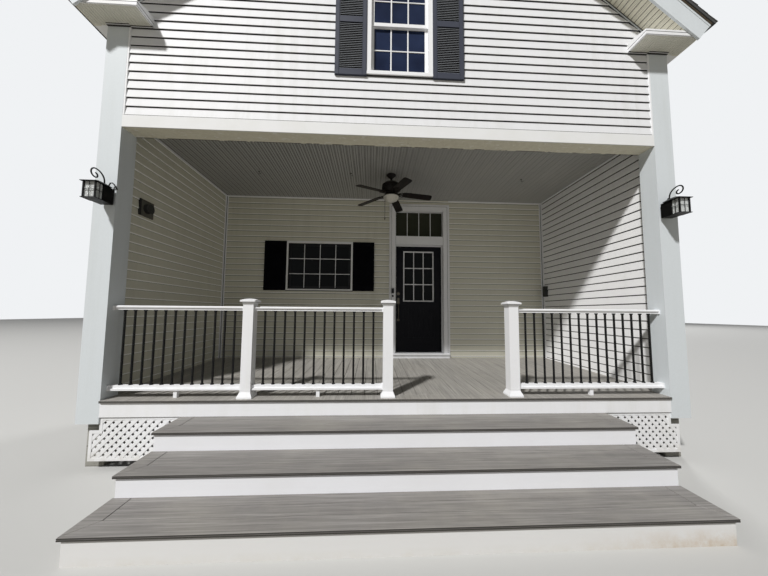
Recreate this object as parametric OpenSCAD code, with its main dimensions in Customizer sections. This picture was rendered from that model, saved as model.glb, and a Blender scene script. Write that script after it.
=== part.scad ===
// Inset front porch under a front gable: steps, deck, railing, walls, door, windows and roof.
// Origin: centre of the footprint at ground level. +Y runs into the house, +Z is up.

/* [Opening] */
// Clear width between the corner posts
opening_w = 6008; // [4800:10:7000]
// Width of a corner post, seen from the front
corner_w = 225; // [200:5:300]
// Depth of the corner posts and of the beam over the opening
front_wall_d = 195; // [150:5:260]
// Clear height from the front edge of the deck to the beam
opening_h = 2879; // [2400:5:3200]
// Height of the beam's face board
header_h = 133; // [100:1:300]

/* [Walls] */
// Depth from the face of the corner posts to the back wall
porch_depth = 2310; // [1800:10:3000]
// Thickness of the two side walls
side_wall_t = 129; // [100:1:180]
// Thickness of the back wall
back_wall_t = 140; // [100:1:200]
// How far the sided walls lie behind the boards around them
siding_set_back = 18; // [10:1:30]
// Height of the ceiling above the underside of the beam
ceiling_rise = 253; // [160:1:320]
// Thickness of the ceiling boards
ceiling_t = 25; // [12:1:40]
// Thickness of the storey floor above the porch
upper_floor_t = 175; // [120:5:260]
// Height of the foundation
foundation_h = 450; // [300:1:470]
// How far the foundation lies behind the face of the corner posts
foundation_set_back = 90; // [40:1:150]
// How far the foundation lies inside the outer face of the side walls
foundation_inset = 45; // [10:1:80]

/* [Deck] */
// Height of the deck's front edge above the ground
deck_h = 679; // [640:1:760]
// Rise of the deck from its front edge to the back wall
deck_fall = 44; // [20:1:80]
// Thickness of the deck boards and treads
board_t = 24; // [19:0.1:38]
// Overhang of the deck boards and treads past the board below
nosing = 16; // [8:0.1:40]
// Height of the rim board
rim_h = 141; // [100:1:160]
// Thickness of the rim board
rim_t = 25; // [18:1:40]
// Thickness of a joist
joist_t = 38; // [30:1:60]
// Number of joists
joist_count = 6; // [4:1:8]
// Side of a square pier under the joists
pier_w = 140; // [90:5:200]

/* [Steps] */
// Width of the steps
step_w = 4434; // [3000:1:4700]
// Position of the steps' middle from the middle of the porch
step_x = 18; // [-100:1:100]
// Going of each step
tread_run = 350; // [280:1:400]
// Height of the bottom step
first_rise = 184; // [150:1:190]
// Height of each step above it
step_rise = 165; // [140:0.5:170]
// Thickness of the boards that frame each step
step_frame_t = 22; // [18:1:40]

/* [Lattice] */
// Distance between slat centres, across the slats
slat_pitch = 55; // [45:1:80]
// Width of a slat
slat_w = 34; // [25:1:42]
// Thickness of a slat
slat_t = 5; // [4:1:11]
// Width of the frame around a panel
lattice_frame_w = 30; // [20:1:60]
// Length of a panel, from the corner post towards the steps
lattice_l = 990; // [600:10:1400]
// How far a panel reaches under the corner post
lattice_lap = 92; // [40:1:140]
// Gap between the corner post and the part of a panel under it
lattice_drop = 66; // [0.2:0.2:90]
// Height of a panel above the ground
lattice_z = 88; // [10:1:110]

/* [Gable wall and roof] */
// Height of the level soffit at the eaves
soffit_h = 4721; // [4400:1:5000]
// Overhang of the eaves past the side walls
eave_overhang = 161; // [100:1:300]
// Overhang of the roof in front of the gable wall
rake_overhang = 215; // [120:5:300]
// Slope of the roof in degrees
roof_pitch = 39.8; // [34:0.1:44]
// Thickness of the framed roof, across the slope
roof_t = 168; // [120:1:240]
// Thickness of the roof covering
shingle_t = 42; // [20:1:60]
// Overhang of the roof covering past the boards below it
shingle_lip = 30; // [10:1:50]
// Thickness of the fascia boards
fascia_t = 22; // [18:1:40]
// Thickness of the boxed soffit between a rake board and the gable wall
rake_soffit_t = 52; // [20:1:70]
// How far a rake board hangs below that soffit
rake_drop = 9; // [4:1:30]
// Thickness of the ridge board
ridge_t = 38; // [25:1:60]
// Width of each wing of the ridge cap
ridge_cap_w = 150; // [100:5:220]
// Thickness of the ridge cap
ridge_cap_t = 12; // [6:1:20]
// Length of a cornice return, measured from the eave inwards
return_l = 640; // [450:5:800]
// Height of a cornice return's face
return_h = 66; // [55:1:110]
// Rise of the small roof on a cornice return
return_cap_h = 58; // [25:1:70]

/* [Entry door] */
// Position of the door's centre from the middle of the porch
door_x = 627; // [300:1:900]
// Width of the door leaf
door_w = 914; // [800:1:1000]
// Height of the door leaf
door_h = 2080; // [1950:5:2150]
// Thickness of the door leaf
door_t = 44; // [38:1:55]
// Running gap around the door leaf
door_gap = 5; // [5:0.5:8]
// Height of the sill above the deck at the back wall
sill_h = 93; // [60:1:120]
// Thickness of the jambs
jamb_t = 30; // [20:1:40]
// Width of the casing boards beside the door
casing_w = 115; // [80:1:140]
// How far the casing stands out in front of the siding
casing_proud = 8; // [4:1:20]
// Height of the bar between door and transom light
transom_bar_h = 168; // [100:1:200]
// Distance from the ceiling down to the top of the door frame
frame_drop = 207; // [150:1:300]
// Height of the casing board over the transom
head_casing_h = 130; // [80:1:180]
// Width of the glazed opening in the door leaf
lite_w = 613; // [450:1:680]
// Height of the glazed opening in the door leaf
lite_h = 1006; // [700:1:1050]
// Distance from the top of the door leaf to its glazed opening
lite_top = 98; // [90:1:160]
// Height of the plain rail at the door's foot
kick_h = 275; // [150:5:300]
// Height of the plain rail under the glazed opening
lock_rail_h = 135; // [110:5:220]
// Height of the handle's latch above the door's foot
handle_h = 985; // [950:5:1100]
// Height of the upper lock above the latch
deadbolt_rise = 145; // [120:5:160]
// Distance from the door's edge to the handle
handle_edge = 56; // [50:1:68]
// Height of the pull between its two ends
pull_h = 365; // [240:5:400]
// Thickness of every glass pane
glass_t = 6; // [4:1:10]
// Radius of a hinge pin
pin_r = 4; // [3:0.5:5]
// Radius of a hinge knuckle
knuckle_r = 8; // [7:0.5:10]
// Length of a hinge
hinge_l = 100; // [80:1:130]

/* [Windows and shutters] */
// Position of the lower window's centre from the middle of the porch
low_window_x = -1295; // [-1500:1:-1150]
// Width of the lower window
low_window_w = 1256; // [1000:1:1300]
// Height of the lower window
low_window_h = 935; // [700:1:1100]
// Height of the lower window's sill above the deck at the back wall
low_window_sill = 1269; // [900:1:1400]
// Width of the upper window
high_window_w = 760; // [600:1:900]
// Height of the upper window
high_window_h = 1310; // [1000:5:1400]
// Height of the upper window's sill above the beam's face board
high_window_sill = 590; // [500:1:700]
// Width of a window frame's face
window_frame_w = 48; // [35:1:70]
// How far a window frame stands out in front of the siding
window_proud = 8; // [2:1:20]
// Depth of a window frame
window_frame_d = 110; // [80:1:130]
// Width of a sash's stiles and rails
sash_w = 34; // [25:1:50]
// Thickness of a sash
sash_t = 26; // [20:1:30]
// Height of the rail where the sashes meet
sash_rail_h = 42; // [25:1:60]
// Width of a lower shutter
low_shutter_w = 412; // [300:1:450]
// Width of an upper shutter
high_shutter_w = 362; // [280:1:420]
// How far a lower shutter reaches past its window, above and below
low_shutter_lap = 5; // [0:1:30]
// How far an upper shutter reaches past its window, above and below
high_shutter_lap = 20; // [0:1:40]
// Thickness of a shutter in front of the siding
shutter_proud = 18; // [10:1:30]
// Width of a shutter's frame
shutter_stile_w = 52; // [40:1:70]
// Distance between the slats of a shutter
louvre_pitch = 36; // [28:1:50]

/* [Railing] */
// Side of a square post
post_w = 108; // [90:1:120]
// Height of a post with its cap
post_h = 1042; // [980:1:1120]
// Position of the left post from the middle of the porch
left_post_x = -1605; // [-1750:1:-1450]
// Position of the post left of the steps' way in
middle_post_x = -113; // [-250:1:0]
// Position of the post right of the way in
right_post_x = 1280; // [1150:1:1400]
// Distance from the corner posts' face to the railing's middle
rail_y = 92; // [80:1:105]
// Height of the top rail's upper face above the deck
rail_top = 954; // [880:1:968]
// Height of a top rail
top_rail_h = 44; // [30:1:60]
// Height of a bottom rail
bottom_rail_h = 52; // [40:1:90]
// Clear height under a bottom rail
rail_clear = 77; // [60:1:110]
// Depth of the rails
rail_d = 68; // [50:1:90]
// Diameter of a baluster
baluster_d = 22; // [14:0.5:25]
// Largest distance between baluster centres
baluster_pitch = 107; // [90:1:120]

/* [Lanterns] */
// Height of a lantern's middle above the deck's front edge
lantern_h = 2088; // [1800:1:2300]
// Distance from the opening's edge to a lantern's middle
lantern_edge = 66; // [60:1:140]
// Distance from the post's face to the front of a lantern's cage
lantern_reach = 212; // [190:1:240]
// Width of a lantern's cage
lantern_w = 124; // [100:1:140]
// Depth of a lantern's glazed cage, in front of its box
lantern_d = 94; // [80:1:110]
// Height of a lantern's cage
lantern_cage_h = 158; // [150:1:220]

/* [Ceiling fan] */
// Distance from the corner posts' face to the fan
fan_y = 1340; // [1000:10:1500]
// Distance from the ceiling to the top of the motor
fan_drop = 150; // [120:1:300]
// Radius of the blade tips
fan_r = 660; // [500:5:700]
// Number of blades
blade_count = 5; // [3:1:6]
// Width of a blade
blade_w = 135; // [100:1:150]
// Tilt of a blade in degrees
blade_tilt = 12; // [8:1:16]
// Radius of the motor housing
motor_r = 148; // [120:1:160]
// Height of the motor housing
motor_h = 150; // [120:1:180]

/* [Hidden] */
$fn = 48;

step_count = 3;
joint_gap = 0.2;
pin_clearance = 0.05;
cut = 1;

// Plan: half widths and depths
half_opening = opening_w / 2;
half_house = half_opening + corner_w;
half_room = half_house - side_wall_t;
back_face_y = porch_depth + back_wall_t;
hinge_y = back_face_y + knuckle_r;
front_y = -step_count * tread_run - nosing;
face_y = -(front_y + hinge_y + knuckle_r) / 2;

// Deck levels: the boards fall towards the front edge
deck_slope = deck_fall / (porch_depth + nosing);
function deck_top(y) = deck_h + (y + nosing) * deck_slope;
rim_top = deck_top(0) - board_t;
rim_bottom = rim_top - rim_h;
function tread_top(k) = first_rise + (k - 1) * step_rise;

// Heights of the walls
header_bottom = deck_h + opening_h;
header_top = header_bottom + header_h;
ceiling_z = header_bottom + ceiling_rise;
upper_floor_z = ceiling_z + ceiling_t;
upper_storey_z = upper_floor_z + upper_floor_t;

// Roof lines: slope runs down the right-hand side, normal points up and out from it
eave_x = half_house + eave_overhang;
slope_dir = [cos(roof_pitch), -sin(roof_pitch)];
slope_normal = [sin(roof_pitch), cos(roof_pitch)];
eave_point = [eave_x, soffit_h];
function roof_z(x) = soffit_h + (eave_x - abs(x)) * tan(roof_pitch);
function above_ridge(x, t) = [x, roof_z(x) + t / cos(roof_pitch)];
shingle_top = roof_t + shingle_t;
soffit_end_x = eave_x - rake_soffit_t / sin(roof_pitch);

// Door levels and edges
sill_top = deck_top(porch_depth) + sill_h;
door_bottom = sill_top + door_gap;
door_top = door_bottom + door_h;
door_opening_w = door_w + 2 * door_gap;
frame_w = door_opening_w + 2 * jamb_t;
door_opening_top = door_top + door_gap;
transom_bottom = door_opening_top + transom_bar_h;
frame_top = ceiling_z - frame_drop;
transom_top = frame_top - jamb_t;
door_face_y = back_face_y - door_t;
casing_front_y = porch_depth - siding_set_back - casing_proud;
stop_t = 12;
stop_y = door_face_y - door_gap - stop_t;
hinge_x = door_x + door_w / 2 + door_gap / 2;
panel_z = door_bottom + kick_h;
panel_h = door_h - kick_h - lite_top - lite_h - lock_rail_h;
panel_d = 10;
plank_count = 6;
plank_joint = 6;
bead_w = 22;
bead_t = 6;

// Window places
sash_y = 12;
sill_lip = 7;
low_window_z = deck_top(porch_depth) + low_window_sill;
high_window_z = header_top + high_window_sill;

// A block given by its two corners
module block(from, to) {
  translate(from) cube(to - from);
}

// An outline in the plane of the front, given depth from y0 to y1
module front_prism(y0, y1) {
  translate([0, y1, 0]) rotate([90, 0, 0]) linear_extrude(y1 - y0) children();
}

// An outline seen from the side, given width from x0 to x1
module side_prism(x0, x1) {
  translate([x0, 0, 0]) rotate([90, 0, 90]) linear_extrude(x1 - x0) children();
}

module both_sides() {
  children();
  mirror([1, 0, 0]) children();
}

module at_face() {
  translate([0, face_y, 0]) children();
}

// Everything below the upper face of the deck, to trim what stands on it
module below_deck() {
  side_prism(-half_house, half_house)
    polygon([
      [-nosing - cut, 0], [porch_depth, 0],
      [porch_depth, deck_top(porch_depth)], [-nosing - cut, deck_top(-nosing - cut)]
    ]);
}

module foundation_sides() {
  color("darkgray") at_face() both_sides()
    block(
      [half_opening, foundation_set_back, 0],
      [half_house - foundation_inset, back_face_y, foundation_h]
    );
}

module foundation_back() {
  color("darkgray") at_face()
    block([-half_opening, porch_depth, 0], [half_opening, back_face_y, foundation_h]);
}

function joist_y(i) = rim_t + i * (porch_depth - rim_t - joist_t) / (joist_count - 1);

module deck_piers() {
  color("gray") at_face() both_sides()
    for (i = [1 : 2 : joist_count - 2])
      translate([half_opening / 3 - pier_w / 2, joist_y(i) + joist_t / 2 - pier_w / 2, 0])
        cube([pier_w, pier_w, foundation_h]);
}

module deck_joists() {
  color("burlywood") at_face()
    for (i = [0 : joist_count - 1]) {
      y = joist_y(i);
      reach = y < front_wall_d ? half_opening : half_room;
      block([-reach, y, foundation_h], [reach, y + joist_t, deck_top(y) - board_t]);
    }
}

module deck_rim() {
  color("white") at_face() block([-half_opening, 0, rim_bottom], [half_opening, rim_t, rim_top]);
}

module deck_layer(y0, y1, half_w) {
  side_prism(-half_w, half_w)
    polygon([
      [y0, deck_top(y0) - board_t], [y1, deck_top(y1) - board_t],
      [y1, deck_top(y1)], [y0, deck_top(y0)]
    ]);
}

module deck_boards() {
  color("gray") at_face() {
    deck_layer(-nosing, front_wall_d, half_opening);
    deck_layer(front_wall_d, porch_depth, half_room);
  }
}

// One open frame of boards under a step, with cross pieces
module step_frame(k) {
  depth = (step_count + 1 - k) * tread_run;
  low = k == 1 ? 0 : tread_top(k - 1) - board_t + joint_gap;
  high = tread_top(k) - board_t;
  bays = 6;
  bay_w = (step_w - step_frame_t) / bays;
  left = step_x - step_w / 2;
  difference() {
    block([left, -depth, low], [left + step_w, 0, high]);
    for (b = [0 : bays - 1])
      block(
        [left + step_frame_t + b * bay_w, -depth + step_frame_t, low - cut],
        [left + (b + 1) * bay_w, -step_frame_t, high + cut]
      );
  }
}

module step_frames() {
  color("white") at_face() for (k = [1 : step_count]) step_frame(k);
}

module treads() {
  color("gray") at_face()
    for (k = [1 : step_count]) {
      face = -(step_count + 1 - k) * tread_run;
      block(
        [step_x - step_w / 2 - nosing, face - nosing, tread_top(k) - board_t],
        [step_x + step_w / 2 + nosing, face + tread_run, tread_top(k)]
      );
    }
}

// Outline of a panel, drawn in by a margin: the end under the corner post is lower
module lattice_outline(margin) {
  x1 = half_opening + lattice_lap;
  end_top = foundation_h - lattice_drop;
  polygon([
    [x1 - lattice_l + margin, lattice_z + margin], [x1 - margin, lattice_z + margin],
    [x1 - margin, end_top - margin], [half_opening - margin, end_top - margin],
    [half_opening - margin, rim_bottom - margin], [x1 - lattice_l + margin, rim_bottom - margin]
  ]);
}

// A panel of two crossed layers of slats in a frame, drawn right of the steps
module lattice_panel() {
  middle_x = half_opening + lattice_lap - lattice_l / 2;
  middle_z = (lattice_z + rim_bottom) / 2;
  reach = lattice_l + rim_bottom - lattice_z;
  lines = ceil(reach / slat_pitch / 2);
  layer_lap = 1;
  front_prism(rim_t - 2 * slat_t - 2, rim_t)
    difference() {
      lattice_outline(0);
      lattice_outline(lattice_frame_w);
    }
  for (layer = [0, 1]) {
    back_y = rim_t - 1 - layer * (slat_t - layer_lap);
    front_prism(back_y - slat_t, back_y)
      intersection() {
        lattice_outline(cut);
        translate([middle_x, middle_z]) rotate(layer == 0 ? 45 : -45)
          for (i = [-lines : lines])
            translate([-reach / 2, i * slat_pitch - slat_w / 2]) square([reach, slat_w]);
      }
  }
}

module lattice_right() {
  color("white") at_face() lattice_panel();
}

module lattice_left() {
  color("white") at_face() mirror([1, 0, 0]) lattice_panel();
}

module corner_posts() {
  color("white") at_face() both_sides()
    block([half_opening, 0, foundation_h], [half_house, front_wall_d, soffit_h]);
}

module header_beam() {
  color("beige") at_face()
    block([-half_opening, 0, header_bottom], [half_opening, front_wall_d, header_top]);
}

module side_walls() {
  color("whitesmoke") at_face() both_sides()
    front_prism(front_wall_d, back_face_y)
      polygon([
        [half_room, foundation_h], [half_house, foundation_h],
        [half_house, roof_z(half_house)], [half_room, roof_z(half_room)]
      ]);
}

module window_hole(x, z, w, h) {
  edge = window_frame_w / 2;
  translate([x - w / 2 + edge, z + edge]) square([w - 2 * edge, h - 2 * edge]);
}

module back_wall_left() {
  color("whitesmoke") at_face()
    front_prism(porch_depth, back_face_y)
      difference() {
        translate([-half_room, foundation_h])
          square([door_x - frame_w / 2 + half_room, ceiling_z - foundation_h]);
        window_hole(low_window_x, low_window_z, low_window_w, low_window_h);
      }
}

module back_wall_right() {
  color("whitesmoke") at_face()
    block([door_x + frame_w / 2, porch_depth, foundation_h], [half_room, back_face_y, ceiling_z]);
}

module back_wall_over_door() {
  color("whitesmoke") at_face()
    block(
      [door_x - frame_w / 2, porch_depth, frame_top],
      [door_x + frame_w / 2, back_face_y, ceiling_z]
    );
}

// Sill of the doorway: a threshold in the wall, and a stepped nose that the casings stand on
module door_sill() {
  nose_l = 34;
  riser_proud = 8;
  nose_half = door_opening_w / 2 + casing_w;
  inner_half = frame_w / 2 - joint_gap;
  nose_y = casing_front_y - nose_l;
  riser_y = casing_front_y - riser_proud;
  lip_h = 20;
  fall = 12;
  color("lightgray") at_face() translate([door_x, 0, 0]) {
    side_prism(-inner_half, inner_half)
      polygon([
        [porch_depth, foundation_h], [back_face_y, foundation_h], [back_face_y, sill_top],
        [porch_depth - cut, sill_top], [porch_depth - cut, sill_top - cut],
        [porch_depth, sill_top - cut]
      ]);
    side_prism(-nose_half, nose_half)
      polygon([
        [porch_depth, sill_top], [casing_front_y, sill_top], [nose_y, sill_top - fall],
        [nose_y, sill_top - fall - lip_h], [riser_y, sill_top - fall - lip_h],
        [riser_y, deck_top(riser_y)], [porch_depth, deck_top(porch_depth)]
      ]);
  }
}

module porch_ceiling() {
  color("darkgray") at_face()
    block([-half_room, front_wall_d, ceiling_z], [half_room, back_face_y, upper_floor_z]);
}

module upper_floor() {
  color("burlywood") at_face()
    block([-half_room, front_wall_d, upper_floor_z], [half_room, back_face_y, upper_storey_z]);
}

module gable_wall() {
  color("whitesmoke") at_face()
    front_prism(siding_set_back, front_wall_d)
      difference() {
        polygon([
          [-half_opening, header_top], [half_opening, header_top], [half_opening, soffit_h],
          [half_house, soffit_h], [half_house, roof_z(half_house)], [0, roof_z(0)],
          [-half_house, roof_z(half_house)], [-half_house, soffit_h], [-half_opening, soffit_h]
        ]);
        window_hole(0, high_window_z, high_window_w, high_window_h);
      }
}

module rear_gable_wall() {
  color("whitesmoke") at_face()
    front_prism(porch_depth, back_face_y)
      polygon([
        [-half_room, upper_storey_z], [half_room, upper_storey_z],
        [half_room, roof_z(half_room)], [0, roof_z(0)], [-half_room, roof_z(half_room)]
      ]);
}

// Each layer of the roof is an outline of its right-hand half, mirrored for the left
module roof_slopes() {
  foot = eave_point - fascia_t * slope_dir;
  color("tan") at_face() both_sides()
    front_prism(-rake_overhang, back_face_y)
      polygon([
        above_ridge(ridge_t / 2, joint_gap), foot + joint_gap * slope_normal,
        foot + roof_t * slope_normal, above_ridge(ridge_t / 2, roof_t)
      ]);
}

module ridge_board() {
  half_t = ridge_t / 2 - joint_gap;
  color("burlywood") at_face()
    front_prism(-rake_overhang, back_face_y)
      polygon([
        above_ridge(-half_t, joint_gap), above_ridge(0, joint_gap), above_ridge(half_t, joint_gap),
        above_ridge(half_t, roof_t), above_ridge(-half_t, roof_t)
      ]);
}

module shingles() {
  low = roof_t + joint_gap;
  foot = eave_point + shingle_lip * slope_dir;
  color("dimgray") at_face() both_sides()
    front_prism(-rake_overhang - fascia_t - shingle_lip, back_face_y)
      polygon([
        above_ridge(joint_gap, low), foot + low * slope_normal,
        foot + shingle_top * slope_normal, above_ridge(joint_gap, shingle_top)
      ]);
}

module ridge_cap() {
  low = shingle_top + joint_gap;
  high = low + ridge_cap_t;
  wing = above_ridge(0, low) + ridge_cap_w * slope_dir;
  tip = wing + ridge_cap_t * slope_normal;
  color("dimgray") at_face()
    front_prism(-rake_overhang - fascia_t - shingle_lip, back_face_y)
      polygon([
        above_ridge(0, low), wing, tip, above_ridge(0, high), [-tip[0], tip[1]], [-wing[0], wing[1]]
      ]);
}

module rake_boards() {
  low = -rake_soffit_t - rake_drop;
  color("white") at_face() both_sides()
    front_prism(-rake_overhang - fascia_t, -rake_overhang)
      polygon([
        above_ridge(joint_gap, low), eave_point + low * slope_normal,
        eave_point + roof_t * slope_normal, above_ridge(joint_gap, roof_t)
      ]);
}

// Boxed soffit under each rake, cut level where it meets the soffit of the eave
module rake_soffits() {
  foot = eave_point - fascia_t * slope_dir;
  tip_x = eave_x - joint_gap / sin(roof_pitch);
  color("gainsboro") at_face() both_sides()
    front_prism(-rake_overhang, siding_set_back)
      polygon([
        above_ridge(joint_gap, -rake_soffit_t), [soffit_end_x, soffit_h], [tip_x, soffit_h],
        foot - joint_gap * slope_normal, foot, above_ridge(joint_gap, 0)
      ]);
}

// Fascia along each eave with the closed box of the level soffit behind it
module eave_boards() {
  foot = eave_point - fascia_t * slope_dir;
  inner = foot + joint_gap * slope_dir;
  color("white") at_face() both_sides() {
    front_prism(-rake_overhang, back_face_y)
      polygon([inner, eave_point, eave_point + roof_t * slope_normal, inner + roof_t * slope_normal]);
    front_prism(siding_set_back, back_face_y)
      polygon([eave_point, foot, [half_house, roof_z(half_house)], [half_house, soffit_h]]);
  }
}

// A boxed return at each foot of the gable, with a small roof that falls forward
module cornice_returns() {
  top = soffit_h + return_h;
  inner_x = eave_x - return_l;
  inner_z = roof_z(inner_x) - rake_soffit_t / cos(roof_pitch);
  color("white") at_face() both_sides()
    intersection() {
      side_prism(inner_x, eave_x)
        polygon([
          [-rake_overhang, soffit_h], [siding_set_back, soffit_h],
          [siding_set_back, top + return_cap_h], [-rake_overhang, top]
        ]);
      front_prism(-rake_overhang - cut, siding_set_back + cut)
        polygon([[inner_x, soffit_h], [soffit_end_x, soffit_h], [inner_x, inner_z]]);
    }
}

// Jamb and casing board on one side of the doorway, with the stop the door closes against
module door_jamb() {
  edge = door_opening_w / 2;
  band_w = 22;
  band_cove = 6;
  band_proud = 10;
  band_x = edge + casing_w - band_w;
  band_y = casing_front_y - band_proud;
  translate([0, 0, sill_top]) {
    linear_extrude(transom_top - sill_top)
      polygon([
        [edge, casing_front_y], [band_x, casing_front_y],
        [band_x + band_cove, band_y], [edge + casing_w, band_y],
        [edge + casing_w, porch_depth], [edge + jamb_t, porch_depth], [edge + jamb_t, back_face_y],
        [edge, back_face_y]
      ]);
    linear_extrude(door_opening_top - stop_t - joint_gap - sill_top)
      translate([edge - stop_t, stop_y]) square([stop_t + cut, stop_t]);
  }
}

// Bar between the door and the transom light, with the head stop below it
module transom_bar() {
  half = door_opening_w / 2 - joint_gap;
  block([-half, casing_front_y, door_opening_top], [half, back_face_y, transom_bottom]);
  block([-half, stop_y, door_opening_top - stop_t], [half, stop_y + stop_t, door_opening_top + cut]);
}

// Head of the frame and the casing board in front of it
module frame_head() {
  low = transom_top + joint_gap;
  casing_half = door_opening_w / 2 + casing_w;
  block([-frame_w / 2, porch_depth, low], [frame_w / 2, back_face_y, frame_top]);
  block([-casing_half, casing_front_y, low], [casing_half, porch_depth, transom_top + head_casing_h]);
}

module door_frame() {
  color("lightgray") at_face() translate([door_x, 0, 0]) {
    both_sides() door_jamb();
    transom_bar();
    frame_head();
  }
}

module pane(x, z, w, h, y) {
  block([x - w / 2, y, z], [x + w / 2, y + glass_t, z + h]);
}

module window_glass() {
  edge = window_frame_w + sash_w;
  low_y = porch_depth + sash_y;
  high_y = siding_set_back + sash_y;
  pane_w = high_window_w - 2 * edge;
  pane_h = (high_window_h - sash_rail_h) / 2 - edge;
  upper_z = high_window_z + (high_window_h + sash_rail_h) / 2;
  pane_y = (sash_t - glass_t) / 2;
  color("lightblue", 0.4) at_face() {
    pane(
      low_window_x, low_window_z + edge, low_window_w - 2 * edge, low_window_h - 2 * edge,
      low_y + pane_y
    );
    pane(0, upper_z, pane_w, pane_h, high_y + pane_y);
    pane(0, high_window_z + edge, pane_w, pane_h, high_y + sash_t + pane_y);
    pane(
      door_x, transom_bottom, door_opening_w, transom_top - transom_bottom,
      porch_depth + back_wall_t / 2
    );
  }
}

function hinge_levels() = [for (s = [0.12, 0.5, 0.88]) door_bottom + s * door_h];

// The knuckle of one hinge that turns with the door, with its leaf
module door_knuckle(z) {
  leaf_w = 34;
  leaf_t = 3;
  knuckle_h = hinge_l / 3;
  difference() {
    union() {
      block(
        [hinge_x - door_gap / 2 - leaf_w, back_face_y, z - knuckle_h / 2],
        [hinge_x, back_face_y + leaf_t, z + knuckle_h / 2]
      );
      translate([hinge_x, hinge_y, z - knuckle_h / 2]) cylinder(h = knuckle_h, r = knuckle_r);
    }
    translate([hinge_x, hinge_y, z - knuckle_h / 2 - cut])
      cylinder(h = knuckle_h + 2 * cut, r = pin_r + pin_clearance);
  }
}

// Boards in the recess of the door's lower half, with open joints between them
module door_planks() {
  plank_w = lite_w / plank_count;
  for (i = [0 : plank_count - 1])
    block(
      [door_x - lite_w / 2 + i * plank_w + plank_joint / 2, door_face_y + panel_d / 2, panel_z - cut],
      [
        door_x - lite_w / 2 + (i + 1) * plank_w - plank_joint / 2, door_face_y + panel_d + cut,
        panel_z + panel_h + cut
      ]
    );
}

module entry_door() {
  lite_z = door_top - lite_top - lite_h;
  half_lite = lite_w / 2;
  color("black") at_face() {
    difference() {
      block(
        [door_x - door_w / 2, door_face_y, door_bottom],
        [door_x + door_w / 2, back_face_y, door_top]
      );
      block(
        [door_x - half_lite, door_face_y - cut, lite_z],
        [door_x + half_lite, back_face_y + cut, lite_z + lite_h]
      );
      block(
        [door_x - half_lite, door_face_y - cut, panel_z],
        [door_x + half_lite, door_face_y + panel_d, panel_z + panel_h]
      );
    }
    ring(
      door_x - half_lite - bead_w, door_x + half_lite + bead_w, lite_z - bead_w,
      lite_z + lite_h + bead_w, bead_w, door_face_y - bead_t, door_face_y + cut
    );
    door_planks();
    for (z = hinge_levels()) door_knuckle(z);
  }
}

module door_glass() {
  color("lightblue", 0.4) at_face()
    pane(door_x, door_top - lite_top - lite_h, lite_w, lite_h, door_face_y + (door_t - glass_t) / 2);
}

// Handle set: upper lock, latch plate with its thumb piece, and a bowed pull with a foot below
module door_handle() {
  plate_t = 8;
  plate_half_w = 22;
  plate_half_h = 62;
  foot_r = 26;
  lock_r = 30;
  stem_r = 8;
  stem_l = 26;
  bow = 40;
  chord = pull_h - plate_half_h + stem_r;
  bow_r = (chord * chord / 4 + bow * bow) / (2 * bow);
  half_angle = asin(chord / 2 / bow_r);
  color("silver") at_face()
    translate([door_x - door_w / 2 + handle_edge, door_face_y, door_bottom + handle_h]) {
      block([-plate_half_w, -plate_t, -plate_half_h], [plate_half_w, 0, plate_half_h]);
      block([-plate_half_w / 2, -stem_l - plate_t, 0], [plate_half_w / 2, cut - plate_t, plate_t]);
      translate([0, 0, deadbolt_rise]) rotate([90, 0, 0]) {
        cylinder(h = plate_t, r = lock_r);
        cylinder(h = 2 * plate_t, r = lock_r * 0.6);
      }
      translate([0, 0, -pull_h]) rotate([90, 0, 0]) cylinder(h = plate_t, r = foot_r);
      for (z = [-plate_half_h + stem_r, -pull_h]) translate([0, 0, z]) {
        rotate([90, 0, 0]) cylinder(h = stem_l, r = stem_r);
        translate([0, -stem_l, 0]) sphere(r = stem_r + cut);
      }
      translate([0, bow_r - bow - stem_l, (stem_r - plate_half_h - pull_h) / 2])
        rotate([0, 90, 0]) rotate(-90 - half_angle)
          rotate_extrude(angle = 2 * half_angle) translate([bow_r, 0]) circle(r = stem_r);
    }
}

module door_hinges() {
  knuckle_h = hinge_l / 3;
  leaf_w = 27;
  leaf_t = 3;
  color("dimgray") at_face()
    for (z = hinge_levels()) {
      translate([hinge_x, hinge_y, z - hinge_l / 2]) cylinder(h = hinge_l, r = pin_r);
      for (s = [-1, 1])
        translate([hinge_x, hinge_y, z + s * (knuckle_h + joint_gap) - knuckle_h / 2])
          cylinder(h = knuckle_h, r = knuckle_r);
      for (s = [-1, 1])
        translate([hinge_x, back_face_y, z + s * (knuckle_h + joint_gap) - knuckle_h / 2])
          cube([leaf_w, leaf_t, knuckle_h]);
    }
}

// A flat ring in the plane of the wall, with the same width all round
module ring(x0, x1, z0, z1, width, y0, y1) {
  difference() {
    block([x0, y0, z0], [x1, y1, z1]);
    block([x0 + width, y0 - cut, z0 + width], [x1 - width, y1 + cut, z1 - width]);
  }
}

// A window frame drawn around its own middle, its back edge set into the wall behind y = 0
module window_frame(w, h) {
  hole = window_frame_w / 2;
  lip_h = 29;
  front_y = -siding_set_back - window_proud;
  ring(-w / 2, w / 2, 0, h, window_frame_w, front_y, 0);
  ring(
    -w / 2 + hole, w / 2 - hole, hole, h - hole, window_frame_w - hole,
    -cut, window_frame_d - siding_set_back
  );
  block([-w / 2, front_y - sill_lip, 0], [w / 2, front_y + cut, lip_h]);
}

module lower_window_frame() {
  edge = window_frame_w - cut;
  half_w = low_window_w / 2;
  color("white") at_face() translate([low_window_x, porch_depth, low_window_z]) {
    window_frame(low_window_w, low_window_h);
    ring(
      edge - half_w, half_w - edge, edge, low_window_h - edge, sash_w + cut,
      sash_y, sash_y + sash_t
    );
  }
}

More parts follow.
